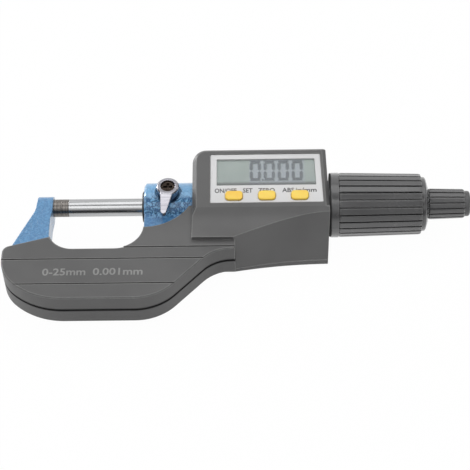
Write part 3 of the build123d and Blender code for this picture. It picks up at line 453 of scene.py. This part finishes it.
# Each edge colour below is a painted highlight along edges; edgeGain sets how strongly it shows
plasticLooks = {
    "housingGrey": {
        "dark": srgb(89, 89, 89), "light": srgb(97, 97, 97), "edge": srgb(142, 142, 141),
        "rough": 0.42, "roughSpread": 0.12, "grainScale": 3600.0, "bump": 0.00002, "edgeRadius": 0.0005,
        "edgeGain": 24.0, "crevice": (0.0008, 0.6),
    },
    "rearCoverGrey": {
        "dark": srgb(84, 84, 84), "light": srgb(93, 93, 93), "edge": srgb(142, 142, 141),
        "rough": 0.46, "roughSpread": 0.12, "grainScale": 3600.0, "bump": 0.00002, "edgeRadius": 0.0005,
        "edgeGain": 20.0, "seam": (rearTop, -0.0003), "crevice": (0.0006, 0.9),
    },
    "coverGrey": {
        "dark": srgb(84, 84, 84), "light": srgb(93, 93, 93), "edge": srgb(142, 142, 141),
        "rough": 0.46, "roughSpread": 0.12, "grainScale": 3600.0, "bump": 0.00002, "edgeRadius": 0.0005,
        "edgeGain": 30.0, "seam": (coverLow, 0.0004), "crevice": (0.0006, 0.9),
    },
    "thimbleGrey": {
        "dark": srgb(70, 70, 71), "light": srgb(79, 79, 80), "edge": srgb(156, 156, 157),
        "rough": 0.26, "roughSpread": 0.08, "grainScale": 4200.0, "bump": 0.000006, "edgeRadius": 0.0003,
        "edgeGain": 4.0, "coat": 0.9, "coatRough": 0.16, "crevice": (0.0009, 0.95),
    },
    "capGrey": {
        "dark": srgb(82, 82, 83), "light": srgb(92, 92, 93), "edge": srgb(148, 148, 149),
        "rough": 0.32, "grainScale": 4200.0, "bump": 0.00001, "edgeGain": 2.2,
    },
    "plateWhite": {
        "dark": srgb(217, 217, 218), "light": srgb(224, 224, 225), "edge": srgb(240, 240, 240),
        "rough": 0.32, "roughSpread": 0.06, "grainScale": 5200.0, "bump": 0.000006, "coat": 0.15,
    },
    "buttonYellow": {
        "dark": srgb(255, 206, 64), "light": srgb(255, 220, 84), "edge": srgb(255, 236, 150),
        "rough": 0.3, "roughSpread": 0.08, "grainScale": 3000.0, "bump": 0.00001, "coat": 0.4,
        "cloudScale": 200.0,
    },
    "rubberBlack": {
        "dark": srgb(34, 34, 34), "light": srgb(46, 46, 46), "edge": srgb(64, 64, 64),
        "rough": 0.7, "grainScale": 2800.0, "bump": 0.00002,
    },
    "boardGreen": {
        "dark": srgb(18, 88, 44), "light": srgb(26, 108, 56), "edge": srgb(120, 140, 90),
        "rough": 0.35, "grainScale": 2600.0, "bump": 0.00001,
    },
    "filmAmber": {
        "dark": srgb(176, 104, 26), "light": srgb(198, 124, 36), "edge": srgb(214, 150, 70),
        "rough": 0.3, "grainScale": 2600.0, "bump": 0.000006,
    },
    "bushBlack": {
        "dark": srgb(40, 42, 45), "light": srgb(56, 58, 62), "edge": srgb(100, 104, 108),
        "rough": 0.35, "grainScale": 2600.0, "bump": 0.00001,
    },
    "inkDark": {
        "dark": srgb(22, 22, 28), "light": srgb(32, 32, 38), "edge": srgb(32, 32, 38),
        "rough": 0.5, "grainScale": 3000.0, "bump": 0.000003,
    },
    "inkPale": {
        "dark": srgb(134, 134, 133), "light": srgb(148, 148, 147), "edge": srgb(148, 148, 147),
        "rough": 0.5, "grainScale": 3000.0, "bump": 0.000003,
    },
    "segmentGrey": {
        "dark": srgb(74, 83, 94), "light": srgb(82, 91, 102), "edge": srgb(82, 91, 102),
        "rough": 0.5, "grainScale": 3000.0, "bump": 0.000002,
    },
    "segmentShadow": {
        "dark": srgb(138, 148, 152), "light": srgb(146, 156, 160), "edge": srgb(146, 156, 160),
        "rough": 0.5, "grainScale": 3000.0, "bump": 0.000002,
    },
}
steelLooks = {
    "groundSteel": {
        "dark": srgb(163, 164, 165), "light": srgb(193, 194, 195), "rough": 0.2, "bump": 0.000003,
    },
    "hardTip": {
        "dark": srgb(102, 98, 95), "light": srgb(142, 138, 134), "rough": 0.3, "bump": 0.000006,
        "ringScale": 2600.0, "toneFrom": "Height",
    },
    "turnedSteel": {
        "dark": srgb(160, 162, 165), "light": srgb(190, 192, 195), "rough": 0.33, "bump": 0.00001,
        "ringScale": 5000.0,
    },
    "turnedBrass": {
        "dark": srgb(190, 150, 84), "light": srgb(216, 180, 108), "rough": 0.3, "bump": 0.00001,
    },
    "chromePlate": {
        "dark": srgb(150, 149, 156), "light": srgb(188, 187, 194), "rough": 0.2, "bump": 0.000006,
        "ringScale": 300.0, "edgeRadius": 0.0004,
    },
    "darkScrew": {
        "dark": srgb(34, 30, 28), "light": srgb(96, 84, 76), "rough": 0.2, "bump": 0.00008,
        "ringScale": 900.0, "streakScale": 1400.0, "edgeRadius": 0.0003,
    },
    # Darker and rougher than bare steel so the gap at the thimble's open end reads dark: painted shade
    "barrelSteel": {
        "dark": srgb(104, 105, 107), "light": srgb(126, 127, 129), "rough": 0.42, "bump": 0.00001,
        "ringScale": 5000.0,
    },
    "zincScrew": {
        "dark": srgb(158, 160, 163), "light": srgb(184, 186, 189), "rough": 0.34, "bump": 0.00001,
    },
}
displayLook = {
    "dark": srgb(148, 161, 157),
    "light": srgb(160, 173, 168),
    "cloudScale": 90.0,
    "rough": 0.4,
    "frostScale": 7000.0,
    "frost": 0.000004,
    "rim": srgb(46, 50, 54),
    "rimStart": 0.0008,  # up the slope from the window's lower edge
    "rimWidth": 0.0013,
    "tint": srgb(158, 166, 178),
    "tintSpan": (0.0137, 0.0345),  # along X from the plate's left edge
    "tintTones": [(0.0, 0.0), (0.04, 0.8), (0.96, 0.8), (1.0, 0.0)],
}


# Reflective display glass: grey-green, with a painted bluish shade under the figures and a painted shadow
# below the edge of its frame
def displayMaterial():
    look = displayLook
    material, tree, shader = newMaterial("displayGlass", rough=look["rough"])
    place = objectPlace(tree)
    cloud = noise(tree, place, look["cloudScale"], detail=1.0)
    color = toneRamp(tree, cloud, look["dark"], look["light"])
    # Painted shade of the figures: a bluish tone on the glass under them
    start, end = (plateLeft + x for x in look["tintSpan"])
    span = remap(tree, axisOf(tree, place, "X"), start, end)
    color = layColor(tree, greyRamp(tree, span, look["tintTones"]), color, look["tint"])
    # Painted shadow: a dark strip just above the window's lower edge
    climb = addNode(tree, "ShaderNodeVectorMath", {1: tuple(upSlope)}, operation="DOT_PRODUCT")
    join(tree, *place, climb, 0)
    rimLow = min(p.dot(upSlope) for p in nodePoints("lcd_window")) + look["rimStart"]
    rim = remap(tree, (climb, "Value"), rimLow, rimLow + look["rimWidth"], 1.0, 0.0)
    color = layColor(tree, rim, color, look["rim"])
    frost = noise(tree, place, look["frostScale"], detail=1.0)
    coverSurface(tree, shader, color, frost, look["frost"])
    return material


windowLook = {
    "dark": srgb(226, 232, 230),
    "light": srgb(240, 244, 243),
    "waveScale": 120.0,
    "rough": 0.06,
    "alpha": 0.1,
}


# Clear moulded window: almost all of the light goes through
def windowMaterial():
    look = windowLook
    material, tree, shader = newMaterial("clearWindow", rough=look["rough"])
    wave = noise(tree, objectPlace(tree), look["waveScale"], detail=1.0)
    join(tree, *toneRamp(tree, wave, look["dark"], look["light"]), shader, "Base Color")
    shader.inputs["Alpha"].default_value = look["alpha"]
    return material


finishes = {name: plasticMaterial(name, look) for name, look in plasticLooks.items()}
finishes.update({name: steelMaterial(name, look) for name, look in steelLooks.items()})
finishes["hammerBlue"] = hammerMaterial()
finishes["displayGlass"] = displayMaterial()
finishes["clearWindow"] = windowMaterial()

nodeFinishes = {
    "hammerBlue": ["frame"],
    "coverGrey": ["frame_cover_front"],
    "rearCoverGrey": ["frame_cover_rear"],
    "housingGrey": ["housing_front", "housing_back", "battery_cap"],
    "plateWhite": ["display_plate"],
    "clearWindow": ["lcd_window"],
    "displayGlass": ["lcd_panel"],
    "rubberBlack": ["lcd_contacts", "keypad", "cap_seal"],
    "boardGreen": ["circuit_board", "encoder_stator", "encoder_rotor"],
    "filmAmber": ["sensor_ribbon"],
    "buttonYellow": ["button_power", "button_zero", "button_mode"],
    "groundSteel": ["spindle"],
    "hardTip": ["anvil", "anvil_tip", "spindle_tip"],
    "bushBlack": ["spindle_bush"],
    "barrelSteel": ["sleeve"],
    "zincScrew": ["cover_screws", "housing_screws", "battery_cell"],
    "chromePlate": ["lock_lever"],
    "darkScrew": ["lock_screw"],
    "turnedSteel": [
        "lock_stud", "lock_pin", "rotor_key", "rotor_retainer",
        "ratchet_base", "ratchet_ring", "ratchet_screw", "ratchet_spring",
    ],
    "turnedBrass": [
        "thread_nut", "adjusting_nut", "rotor_hub", "battery_contact_plus", "battery_contact_minus",
    ],
    "thimbleGrey": ["thimble", "ratchet_knob"],
    "capGrey": ["knob_cap"],
}
for finish, names in nodeFinishes.items():
    for name in names:
        nodes[name].data.materials.clear()
        nodes[name].data.materials.append(finishes[finish])
print("finishes on", sum(len(names) for names in nodeFinishes.values()), "parts")


# Making pieces

def linkPiece(name, data):
    piece = bpy.data.objects.new(name, data)
    bpy.context.scene.collection.objects.link(piece)
    return piece


def meshObject(name, vertices, faces):
    mesh = bpy.data.meshes.new(name)
    mesh.from_pydata([tuple(v) for v in vertices], [], faces)
    mesh.update()
    return linkPiece(name, mesh)


# The plain mesh of a piece as its modifier or its text makes it, in place of the piece
def flatten(name, source):
    depsgraph = bpy.context.evaluated_depsgraph_get()
    mesh = bpy.data.meshes.new_from_object(source.evaluated_get(depsgraph))
    mesh.name = name
    bpy.data.objects.remove(source)
    return linkPiece(name, mesh)


def rideOn(piece, body):
    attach(piece, body)


def turnOutwards(mesh):
    work = bmesh.new()
    work.from_mesh(mesh)
    bmesh.ops.recalc_face_normals(work, faces=work.faces)
    work.to_mesh(mesh)
    work.free()


# A Geometry Nodes tree: a piece, its sizes and a material go in, and endTree brings one mesh out
def newTree(name, inputs):
    tree = bpy.data.node_groups.new(name, "GeometryNodeTree")
    tree.interface.new_socket("Geometry", in_out="INPUT", socket_type="NodeSocketGeometry")
    for label, kind in inputs:
        tree.interface.new_socket(label, in_out="INPUT", socket_type=kind)
    tree.interface.new_socket("Material", in_out="INPUT", socket_type="NodeSocketMaterial")
    tree.interface.new_socket("Geometry", in_out="OUTPUT", socket_type="NodeSocketGeometry")
    return tree, tree.nodes.new("NodeGroupInput")


def endTree(tree, entry, source, output):
    real = addNode(tree, "GeometryNodeRealizeInstances")
    paint = addNode(tree, "GeometryNodeSetMaterial")
    result = tree.nodes.new("NodeGroupOutput")
    join(tree, source, output, real, "Geometry")
    join(tree, real, "Geometry", paint, "Geometry")
    join(tree, entry, "Material", paint, "Material")
    join(tree, paint, "Geometry", result, "Geometry")
    return tree


def runTree(name, source, tree, values):
    modifier = source.modifiers.new(tree.name, "NODES")
    modifier.node_group = tree
    for item in tree.interface.items_tree:
        if item.in_out == "INPUT" and item.name in values:
            modifier[item.identifier] = values[item.name]
    source.update_tag()
    return flatten(name, source)


# Copies of a piece in a row along X
def rowTree():
    tree, entry = newTree("repeatInRow", [("Count", "NodeSocketInt"), ("Pitch", "NodeSocketFloat")])
    offset = addNode(tree, "ShaderNodeCombineXYZ")
    line = addNode(tree, "GeometryNodeMeshLine", mode="OFFSET")
    copies = addNode(tree, "GeometryNodeInstanceOnPoints")
    join(tree, entry, "Pitch", offset, "X")
    join(tree, entry, "Count", line, "Count")
    join(tree, offset, "Vector", line, "Offset")
    join(tree, line, "Mesh", copies, "Points")
    join(tree, entry, "Geometry", copies, "Instance")
    return endTree(tree, entry, copies, "Instances")


# Copies of a piece turned about the X axis
def aroundTree():
    tree, entry = newTree("repeatAround", [("Count", "NodeSocketInt"), ("Start", "NodeSocketFloat")])
    points = addNode(tree, "GeometryNodePoints")
    index = addNode(tree, "GeometryNodeInputIndex")
    rotation = addNode(tree, "ShaderNodeCombineXYZ")
    copies = addNode(tree, "GeometryNodeInstanceOnPoints")
    step = maths(tree, "DIVIDE", 2 * math.pi, (entry, "Count"))
    turn = maths(tree, "MULTIPLY_ADD", (index, "Index"), step, (entry, "Start"))
    join(tree, entry, "Count", points, "Count")
    join(tree, *turn, rotation, "X")
    join(tree, points, "Points", copies, "Points")
    join(tree, entry, "Geometry", copies, "Instance")
    join(tree, rotation, "Vector", copies, "Rotation")
    return endTree(tree, entry, copies, "Instances")


# Round wire along a coil that climbs in Z
def coilTree():
    sizes = [(label, "NodeSocketFloat") for label in ("Turns", "Radius", "Height", "Wire")]
    counts = [(label, "NodeSocketInt") for label in ("Resolution", "Sides")]
    tree, entry = newTree("coiledWire", sizes + counts)
    coil = addNode(tree, "GeometryNodeCurveSpiral")
    section = addNode(tree, "GeometryNodeCurvePrimitiveCircle")
    wire = addNode(tree, "GeometryNodeCurveToMesh", {"Fill Caps": True})
    join(tree, entry, "Turns", coil, "Rotations")
    join(tree, entry, "Radius", coil, "Start Radius")
    join(tree, entry, "Radius", coil, "End Radius")
    join(tree, entry, "Height", coil, "Height")
    join(tree, entry, "Resolution", coil, "Resolution")
    join(tree, entry, "Wire", section, "Radius")
    join(tree, entry, "Sides", section, "Resolution")
    join(tree, coil, "Curve", wire, "Curve")
    join(tree, section, "Curve", wire, "Profile Curve")
    return endTree(tree, entry, wire, "Mesh")


# Grip ribs of the thimble and the ratchet knob, flat on top

# Lengths in millimetres, x from the left end of the part that carries the ribs
thimbleRibs = {
    "carrier": "thimble", "body": "spindle", "count": 26, "firstAngle": 11.223,
    "stations": [
        # x, radius of the flat top, width of the flat top
        (3.4, 11.42, 1.5), (3.62, 11.7, 1.86), (3.9, 11.78, 1.94), (32.1, 11.12, 1.84),
        (32.42, 11.0, 1.72), (32.6, 10.7, 1.4),
    ],
    "bevel": 0.14, "sink": 0.5,
}
knobRibs = {
    "carrier": "ratchet_knob", "body": "ratchet", "count": 16, "firstAngle": 26.25,
    "stations": [
        (0.3, 5.3, 1.0), (0.6, 5.6, 1.2), (0.9, 5.64, 1.28), (12.5, 5.31, 1.2), (12.8, 5.24, 1.1),
        (12.95, 5.0, 0.9),
    ],
    "bevel": 0.12, "sink": 0.35,
}


# Half of a rib's section from its foot to its flat top, as pairs of sideways and outwards
def halfSection(top, width, bevel, sink):
    half = width / 2
    knee = bevel * 0.3  # where the bevelled corner bends
    return [
        (half + bevel, top - sink), (half + bevel, top - bevel),
        (half + knee, top - knee), (half - bevel, top),
    ]


# One rib lofted through its stations and copied around the spindle's axis
def makeRibs(name, sizes, tree):
    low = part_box(sizes["carrier"])[0]
    vertices = []
    for x, top, width in sizes["stations"]:
        right = halfSection(top, width, sizes["bevel"], sizes["sink"])
        left = [(-y, z) for y, z in right]
        section = left[:1] + right + left[:0:-1]
        vertices += [(low.x + x / 1000, y / 1000, z / 1000) for y, z in section]
    ring = len(section)
    last = len(vertices) - ring
    faces = [tuple(range(ring))[::-1], tuple(range(last, last + ring))]
    for start in range(0, last, ring):
        for i in range(ring):
            j = (i + 1) % ring
            faces.append((start + i, start + j, start + ring + j, start + ring + i))
    ribs = runTree(name, meshObject(name, vertices, faces), tree, {
        "Count": sizes["count"], "Start": math.radians(sizes["firstAngle"]),
        "Material": finishes["thimbleGrey"],
    })
    for v in ribs.data.vertices:
        v.co += Vector((0.0, spindlePoint.y, spindlePoint.z))
    turnOutwards(ribs.data)
    rideOn(ribs, sizes["body"])


wiperShadeRing = {
    "body": "spindle",
    "segments": 96,
    # x and radius in millimetres; x from the thimble's left end
    "profile": [
        (0.03, 9.4), (-0.3, 9.4), (-0.38, 9.5), (-0.38, 11.5), (-0.3, 11.64), (-0.1, 11.72), (0.03, 11.72),
    ],
}


# A dark rubber wiper ring on the thimble's open end; it also darkens the gap between thimble and housing,
# a painted shade
def makeWiperShadeRing():
    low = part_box("thimble")[0]
    profile = wiperShadeRing["profile"]
    count, rows = wiperShadeRing["segments"], len(profile)
    vertices, faces = [], []
    for k in range(count):
        angle = 2 * math.pi * k / count
        for x, r in profile:
            vertices.append((
                low.x + x / 1000,
                spindlePoint.y + r / 1000 * math.cos(angle),
                spindlePoint.z + r / 1000 * math.sin(angle),
            ))
    for k in range(count):
        here, there = k * rows, (k + 1) % count * rows
        for i in range(rows):
            j = (i + 1) % rows
            faces.append((here + i, here + j, there + j, there + i))
    ring = meshObject("thimbleWiper", vertices, faces)
    ring.data.materials.append(finishes["rubberBlack"])
    turnOutwards(ring.data)
    rideOn(ring, wiperShadeRing["body"])


ratchetSpring = {
    "turns": 5.0, "radius": 2.6, "wire": 0.3,  # the wire by its radius
    "press": 0.5,  # how far the toothed ring can push it
    "resolution": 40, "sides": 10,
}


# The spring behind the toothed ring
def makeRatchetSpring():
    low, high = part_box("ratchet_spring")
    length = high.x - low.x
    wire = ratchetSpring["wire"] / 1000
    seed = meshObject("springSeed", [(0, 0, 0)], [])
    spring = runTree("ratchetCoil", seed, coilTree(), {
        "Turns": ratchetSpring["turns"], "Radius": ratchetSpring["radius"] / 1000,
        "Height": length - 2 * wire, "Wire": wire,
        "Resolution": ratchetSpring["resolution"], "Sides": ratchetSpring["sides"],
        "Material": finishes["turnedSteel"],
    })
    for v in spring.data.vertices:
        x, y, z = v.co
        v.co = Vector((low.x + wire + z, spindlePoint.y + y, spindlePoint.z - x))
    turnOutwards(spring.data)
    rideOn(spring, "ratchet")
    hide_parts("ratchet_spring")
    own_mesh(spring)


ribsAround = aroundTree()
makeRibs("thimbleRibs", thimbleRibs, ribsAround)
makeRibs("knobRibs", knobRibs, ribsAround)
makeWiperShadeRing()
makeRatchetSpring()
print("ribs, wiper ring and ratchet spring made")


# Display figures and lettering, each a thin raised mesh; lengths in millimetres

printThick = 0.012
letterSteps = 3  # points on each curve of a letter
displayDigits = {
    "count": 4,
    "left": 14.25,  # from the plate's left edge
    "pitch": 5.08,
    "low": 9.15,
    "width": 4.1,
    "height": 8.1,
    "bar": 1.15,
    "gap": 0.1,
    "pointLeft": 18.6,
    "pointSize": 0.72,
    "below": 0.83,  # under the plate's surface
    "shadowShift": (0.28, -0.3, -0.014),
}


# The six bars of a nought, from its lower left corner
def digitOutlines(width, height, bar, gap):
    h = bar / 2

    def flat(x0, x1, y, side):
        outer, inner = y - h * side, y + h * side
        return [(x0, outer), (x0 + h, inner), (x1 - h, inner), (x1, outer)][::-side]

    def tall(x, y0, y1):
        return [(x, y0), (x + h, y0 + h), (x + h, y1 - h), (x, y1), (x - h, y1 - h), (x - h, y0 + h)]

    half = height / 2
    return [
        flat(gap, width - gap, height - h, -1),
        flat(gap, width - gap, h, 1),
        tall(h, half + gap, height - h - gap),
        tall(h, h + gap, half - gap),
        tall(width - h, half + gap, height - h - gap),
        tall(width - h, h + gap, half - gap),
    ]


# Closed prisms of flat outlines, each corner put in its place by place(x, y, z)
def gatherPrisms(name, outlines, place):
    vertices, faces = [], []
    for outline in outlines:
        count, start = len(outline), len(vertices)
        for z in (0.0, printThick):
            vertices += [place(x, y, z) for x, y in outline]
        faces.append(tuple(range(start, start + count))[::-1])
        faces.append(tuple(range(start + count, start + 2 * count)))
        for i in range(count):
            j = (i + 1) % count
            faces.append((start + i, start + j, start + j + count, start + i + count))
    return meshObject(name, vertices, faces)


# A row of noughts laid just over the display glass, with the decimal point after the first
def makeDigits(name, finish, shift, tree):
    d = displayDigits
    right, up, rise = shift

    def place(x, y, z):
        return onFace(x + right, y + up, z + rise - d["below"])

    nought = gatherPrisms(name, digitOutlines(d["width"], d["height"], d["bar"], d["gap"]), lambda *p: p)
    row = runTree(name, nought, tree, {
        "Count": d["count"], "Pitch": d["pitch"], "Material": finishes[finish],
    })
    for v in row.data.vertices:
        v.co = place(v.co.x + d["left"], v.co.y + d["low"], v.co.z)
    row.data.update()
    rideOn(row, "body")

    x, y, s = d["pointLeft"], d["low"], d["pointSize"]
    point = gatherPrisms(name + "Point", [[(x, y), (x + s, y), (x + s, y + s), (x, y + s)]], place)
    point.data.materials.append(finishes[finish])
    rideOn(point, "body")


# Text made a mesh, set to a width and laid on a surface by place(x, y, z)
def makeText(name, text, sizes, width, place, finish):
    curve = bpy.data.curves.new(name, "FONT")
    curve.body = text
    curve.size = sizes["size"]
    curve.offset = sizes["bold"]
    curve.extrude = printThick
    curve.resolution_u = letterSteps
    letters = flatten(name, linkPiece(name, curve))
    points = [v.co.copy() for v in letters.data.vertices]
    left, low = min(p.x for p in points), min(p.y for p in points)
    stretch = width / (max(p.x for p in points) - left)
    for v, p in zip(letters.data.vertices, points):
        v.co = place((p.x - left) * stretch, p.y - low, p.z)
    letters.data.materials.clear()
    letters.data.materials.append(finishes[finish])
    rideOn(letters, "body")


plateLabels = {
    # text, left and width; left from the plate's left edge
    "words": [
        ("ON/OFF", 1.6, 7.9), ("SET", 11.8, 3.5), ("ZERO", 17.3, 6.0), ("ABS", 26.0, 4.3),
        ("in/mm", 31.0, 7.4),
    ],
    "low": 4.0, "size": 2.4, "bold": 0.035,
}
coverText = {
    # left from the middle of the frame's bow, low from the spindle's axis
    "words": [("0-25mm", -3.8, 15.3), ("0.001mm", 14.05, 17.6)],
    "low": -36.7, "size": 4.3, "bold": 0.09,
    "middle": -58.0,  # along X from the spindle's joint
}


def makeLettering():
    for index, (text, left, width) in enumerate(plateLabels["words"]):
        def onPlate(x, y, z, left=left):
            return onFace(left + x, plateLabels["low"] + y, z)
        makeText("plateLabel" + str(index), text, plateLabels, width, onPlate, "inkDark")

    coverTop = max(p.z for p in nodePoints("frame_cover_front"))
    corner = Vector((
        spindlePoint.x + coverText["middle"] / 1000, spindlePoint.y + coverText["low"] / 1000, coverTop
    ))
    for index, (text, left, width) in enumerate(coverText["words"]):
        def onCover(x, y, z, left=left):
            return corner + Vector((left + x, y, z)) / 1000
        makeText("coverText" + str(index), text, coverText, width, onCover, "inkPale")


digitRow = rowTree()
makeDigits("displayDigits", "segmentGrey", (0.0, 0.0, 0.0), digitRow)
makeDigits("digitShadows", "segmentShadow", displayDigits["shadowShift"], digitRow)
makeLettering()
print("display figures and lettering made")


# Floor, light and camera

studio = {
    "worldLight": 0.4,
    "backdropWhite": 1.0,
    "floorSize": 1.6,
    "floorColor": srgb(250, 250, 250),
    "floorRough": 0.9,
    "floorGlow": 0.98,
    "nearFloor": (0.09, 0.14),  # metal sees the bright floor only this far in front of the part
    "floorMirrored": (0.1, 0.8),  # how bright it sees it farther out and near the part
}
# Brightness of the studio by angle over the part: 0 is straight overhead, 90 level and towards the camera
backdropBands = [
    (-180, 0.7), (-90, 0.9), (-45, 1.0), (-37, 0.5), (-33, 0.1), (-9, 0.1), (-4, 0.7), (-1, 0.5), (2, 0.5),
    (5, 0.7), (9, 0.1), (43, 0.1), (47, 0.8), (58, 0.75), (66, 0.35), (74, 0.1), (96, 0.08), (106, 0.5),
    (130, 0.65), (180, 0.7),
]


# 1 for rays from the camera and for mirror and clear rays, 0 for the light that falls on the part
def seenDirectly(tree, path):
    eyeOrMirror = maths(tree, "MAXIMUM", (path, "Is Camera Ray"), (path, "Is Glossy Ray"))
    return maths(tree, "MAXIMUM", eyeOrMirror, (path, "Is Transmission Ray"))


def mixShaders(tree, factor, first, second):
    mix = addNode(tree, "ShaderNodeMixShader")
    for entry, term in enumerate((factor, first, second)):
        join(tree, *term, mix, entry)
    return mix, "Shader"


# The studio's tone by direction, turned about the spindle's axis
def bandRamp(tree):
    direction = (addNode(tree, "ShaderNodeTexCoord"), "Generated")
    toFront = maths(tree, "MULTIPLY", axisOf(tree, direction, "Y"), -1.0)
    angle = maths(tree, "ARCTAN2", toFront, axisOf(tree, direction, "Z"))
    share = remap(tree, angle, -math.pi, math.pi)
    return greyRamp(tree, share, [((degrees + 180) / 360, tone) for degrees, tone in backdropBands])


def makeWorld():
    world = bpy.data.worlds.new("studioWorld")
    world.use_nodes = True
    tree = world.node_tree
    tree.nodes.clear()
    path = addNode(tree, "ShaderNodeLightPath")
    light, mirrored, seen = (
        (addNode(tree, "ShaderNodeBackground", {"Color": white, "Strength": strength}), "Background")
        for strength in (studio["worldLight"], studio["backdropWhite"], studio["backdropWhite"])
    )
    join(tree, *bandRamp(tree), mirrored[0], "Color")
    direct = mixShaders(tree, (path, "Is Camera Ray"), mirrored, seen)
    result = addNode(tree, "ShaderNodeOutputWorld")
    join(tree, *mixShaders(tree, seenDirectly(tree, path), light, direct), result, "Surface")
    bpy.context.scene.world = world


# A pale floor that keeps the part's shadow and is clear from beneath
def makeFloor():
    half = studio["floorSize"] / 2
    floor = meshObject(
        "floor", [(-half, -half, 0), (half, -half, 0), (half, half, 0), (-half, half, 0)], [(0, 1, 2, 3)]
    )
    material, tree, shader = newMaterial("floorPale", rough=studio["floorRough"])
    shader.inputs["Base Color"].default_value = studio["floorColor"]
    shader.inputs["Specular IOR Level"].default_value = 0.0
    path = addNode(tree, "ShaderNodeLightPath")
    near, far = studio["nearFloor"]
    fade = remap(tree, axisOf(tree, objectPlace(tree), "Y"), -far, -near, *studio["floorMirrored"])
    either = maths(tree, "MAXIMUM", fade, (path, "Is Camera Ray"))
    kept = maths(tree, "MULTIPLY", seenDirectly(tree, path), either)
    amount = maths(tree, "MULTIPLY", kept, studio["floorGlow"])
    glow = addNode(tree, "ShaderNodeEmission", {"Color": white, "Strength": 1.0})
    lit = mixShaders(tree, amount, (shader, "BSDF"), (glow, "Emission"))
    facing = addNode(tree, "ShaderNodeNewGeometry")
    clear = addNode(tree, "ShaderNodeBsdfTransparent")
    oneSided = mixShaders(tree, (facing, "Backfacing"), lit, (clear, "BSDF"))
    join(tree, *oneSided, tree.nodes["Material Output"], "Surface")
    floor.data.materials.append(material)


lamps = [
    # name, place, aim, size across and along, watts
    ("backSoftbox", (0.0, 0.29, 0.78), (0.0, 0.016, 0.012), (1.3, 0.46), 3.0),
    ("frontSoftbox", (-0.30, -0.34, 0.76), (-0.15, 0.016, 0.012), (0.86, 0.40), 1.7),
    ("thimbleSoftbox", (0.34, -0.17, 0.80), (0.10, 0.016, 0.012), (0.56, 0.17), 0.55),
    ("sideLamp", (-0.56, 0.46, 0.10), (-0.02, 0.0, 0.015), (0.30, 0.20), 2.2),
]


def makeLamps():
    for name, place, aim, size, watts in lamps:
        data = bpy.data.lights.new(name, "AREA")
        data.shape = "RECTANGLE"
        data.size, data.size_y = size
        data.energy = watts
        lamp = linkPiece(name, data)
        lamp.location = place
        lamp.rotation_mode = "QUATERNION"
        lamp.rotation_quaternion = (Vector(aim) - Vector(place)).to_track_quat("-Z", "Y")


photoCamera = {
    "pictureSize": 470,
    "focalPixels": 1632.0,
    "sensorWidth": 36.0,
    "distance": 0.600,
    "tilt": 39.0,
    "yaw": 1.3,
    "roll": 0.66,
    "targetX": 0.0637,  # along the spindle's axis from its measuring face
    "targetPixel": (235.0, 206.2),
    "clip": (0.01, 20.0),
}


# The photograph's viewpoint, from the pixel at which one point of the spindle's axis shows
def makeCamera():
    c = photoCamera
    tilt, yaw, roll = (math.radians(c[k]) for k in ("tilt", "yaw", "roll"))
    back = Vector((
        math.sin(yaw), -math.sin(tilt) * math.cos(yaw), math.cos(tilt) * math.cos(yaw)
    ))
    level = Vector((0, math.cos(tilt), math.sin(tilt))).cross(back).normalized()
    rise = back.cross(level)
    right = level * math.cos(roll) - rise * math.sin(roll)
    up = level * math.sin(roll) + rise * math.cos(roll)
    u = (c["targetPixel"][0] - c["pictureSize"] / 2) / c["focalPixels"]
    v = (c["pictureSize"] / 2 - c["targetPixel"][1]) / c["focalPixels"]
    measuringX = min(p.x for p in nodePoints("spindle_tip"))
    target = Vector((measuringX + c["targetX"], spindlePoint.y, spindlePoint.z))
    place = target - (right * u + up * v - back) * c["distance"]
    data = bpy.data.cameras.new("photoCamera")
    data.sensor_width = c["sensorWidth"]
    data.lens = c["sensorWidth"] * c["focalPixels"] / c["pictureSize"]
    data.clip_start, data.clip_end = c["clip"]
    camera = linkPiece("photoCamera", data)
    camera.matrix_world = Matrix((
        (right.x, up.x, back.x, place.x),
        (right.y, up.y, back.y, place.y),
        (right.z, up.z, back.z, place.z),
        (0, 0, 0, 1),
    ))
    bpy.context.scene.camera = camera


makeWorld()
makeFloor()
makeLamps()
makeCamera()
bpy.context.scene.view_settings.view_transform = "Standard"
print("studio ready")

bpy.context.view_layer.update()
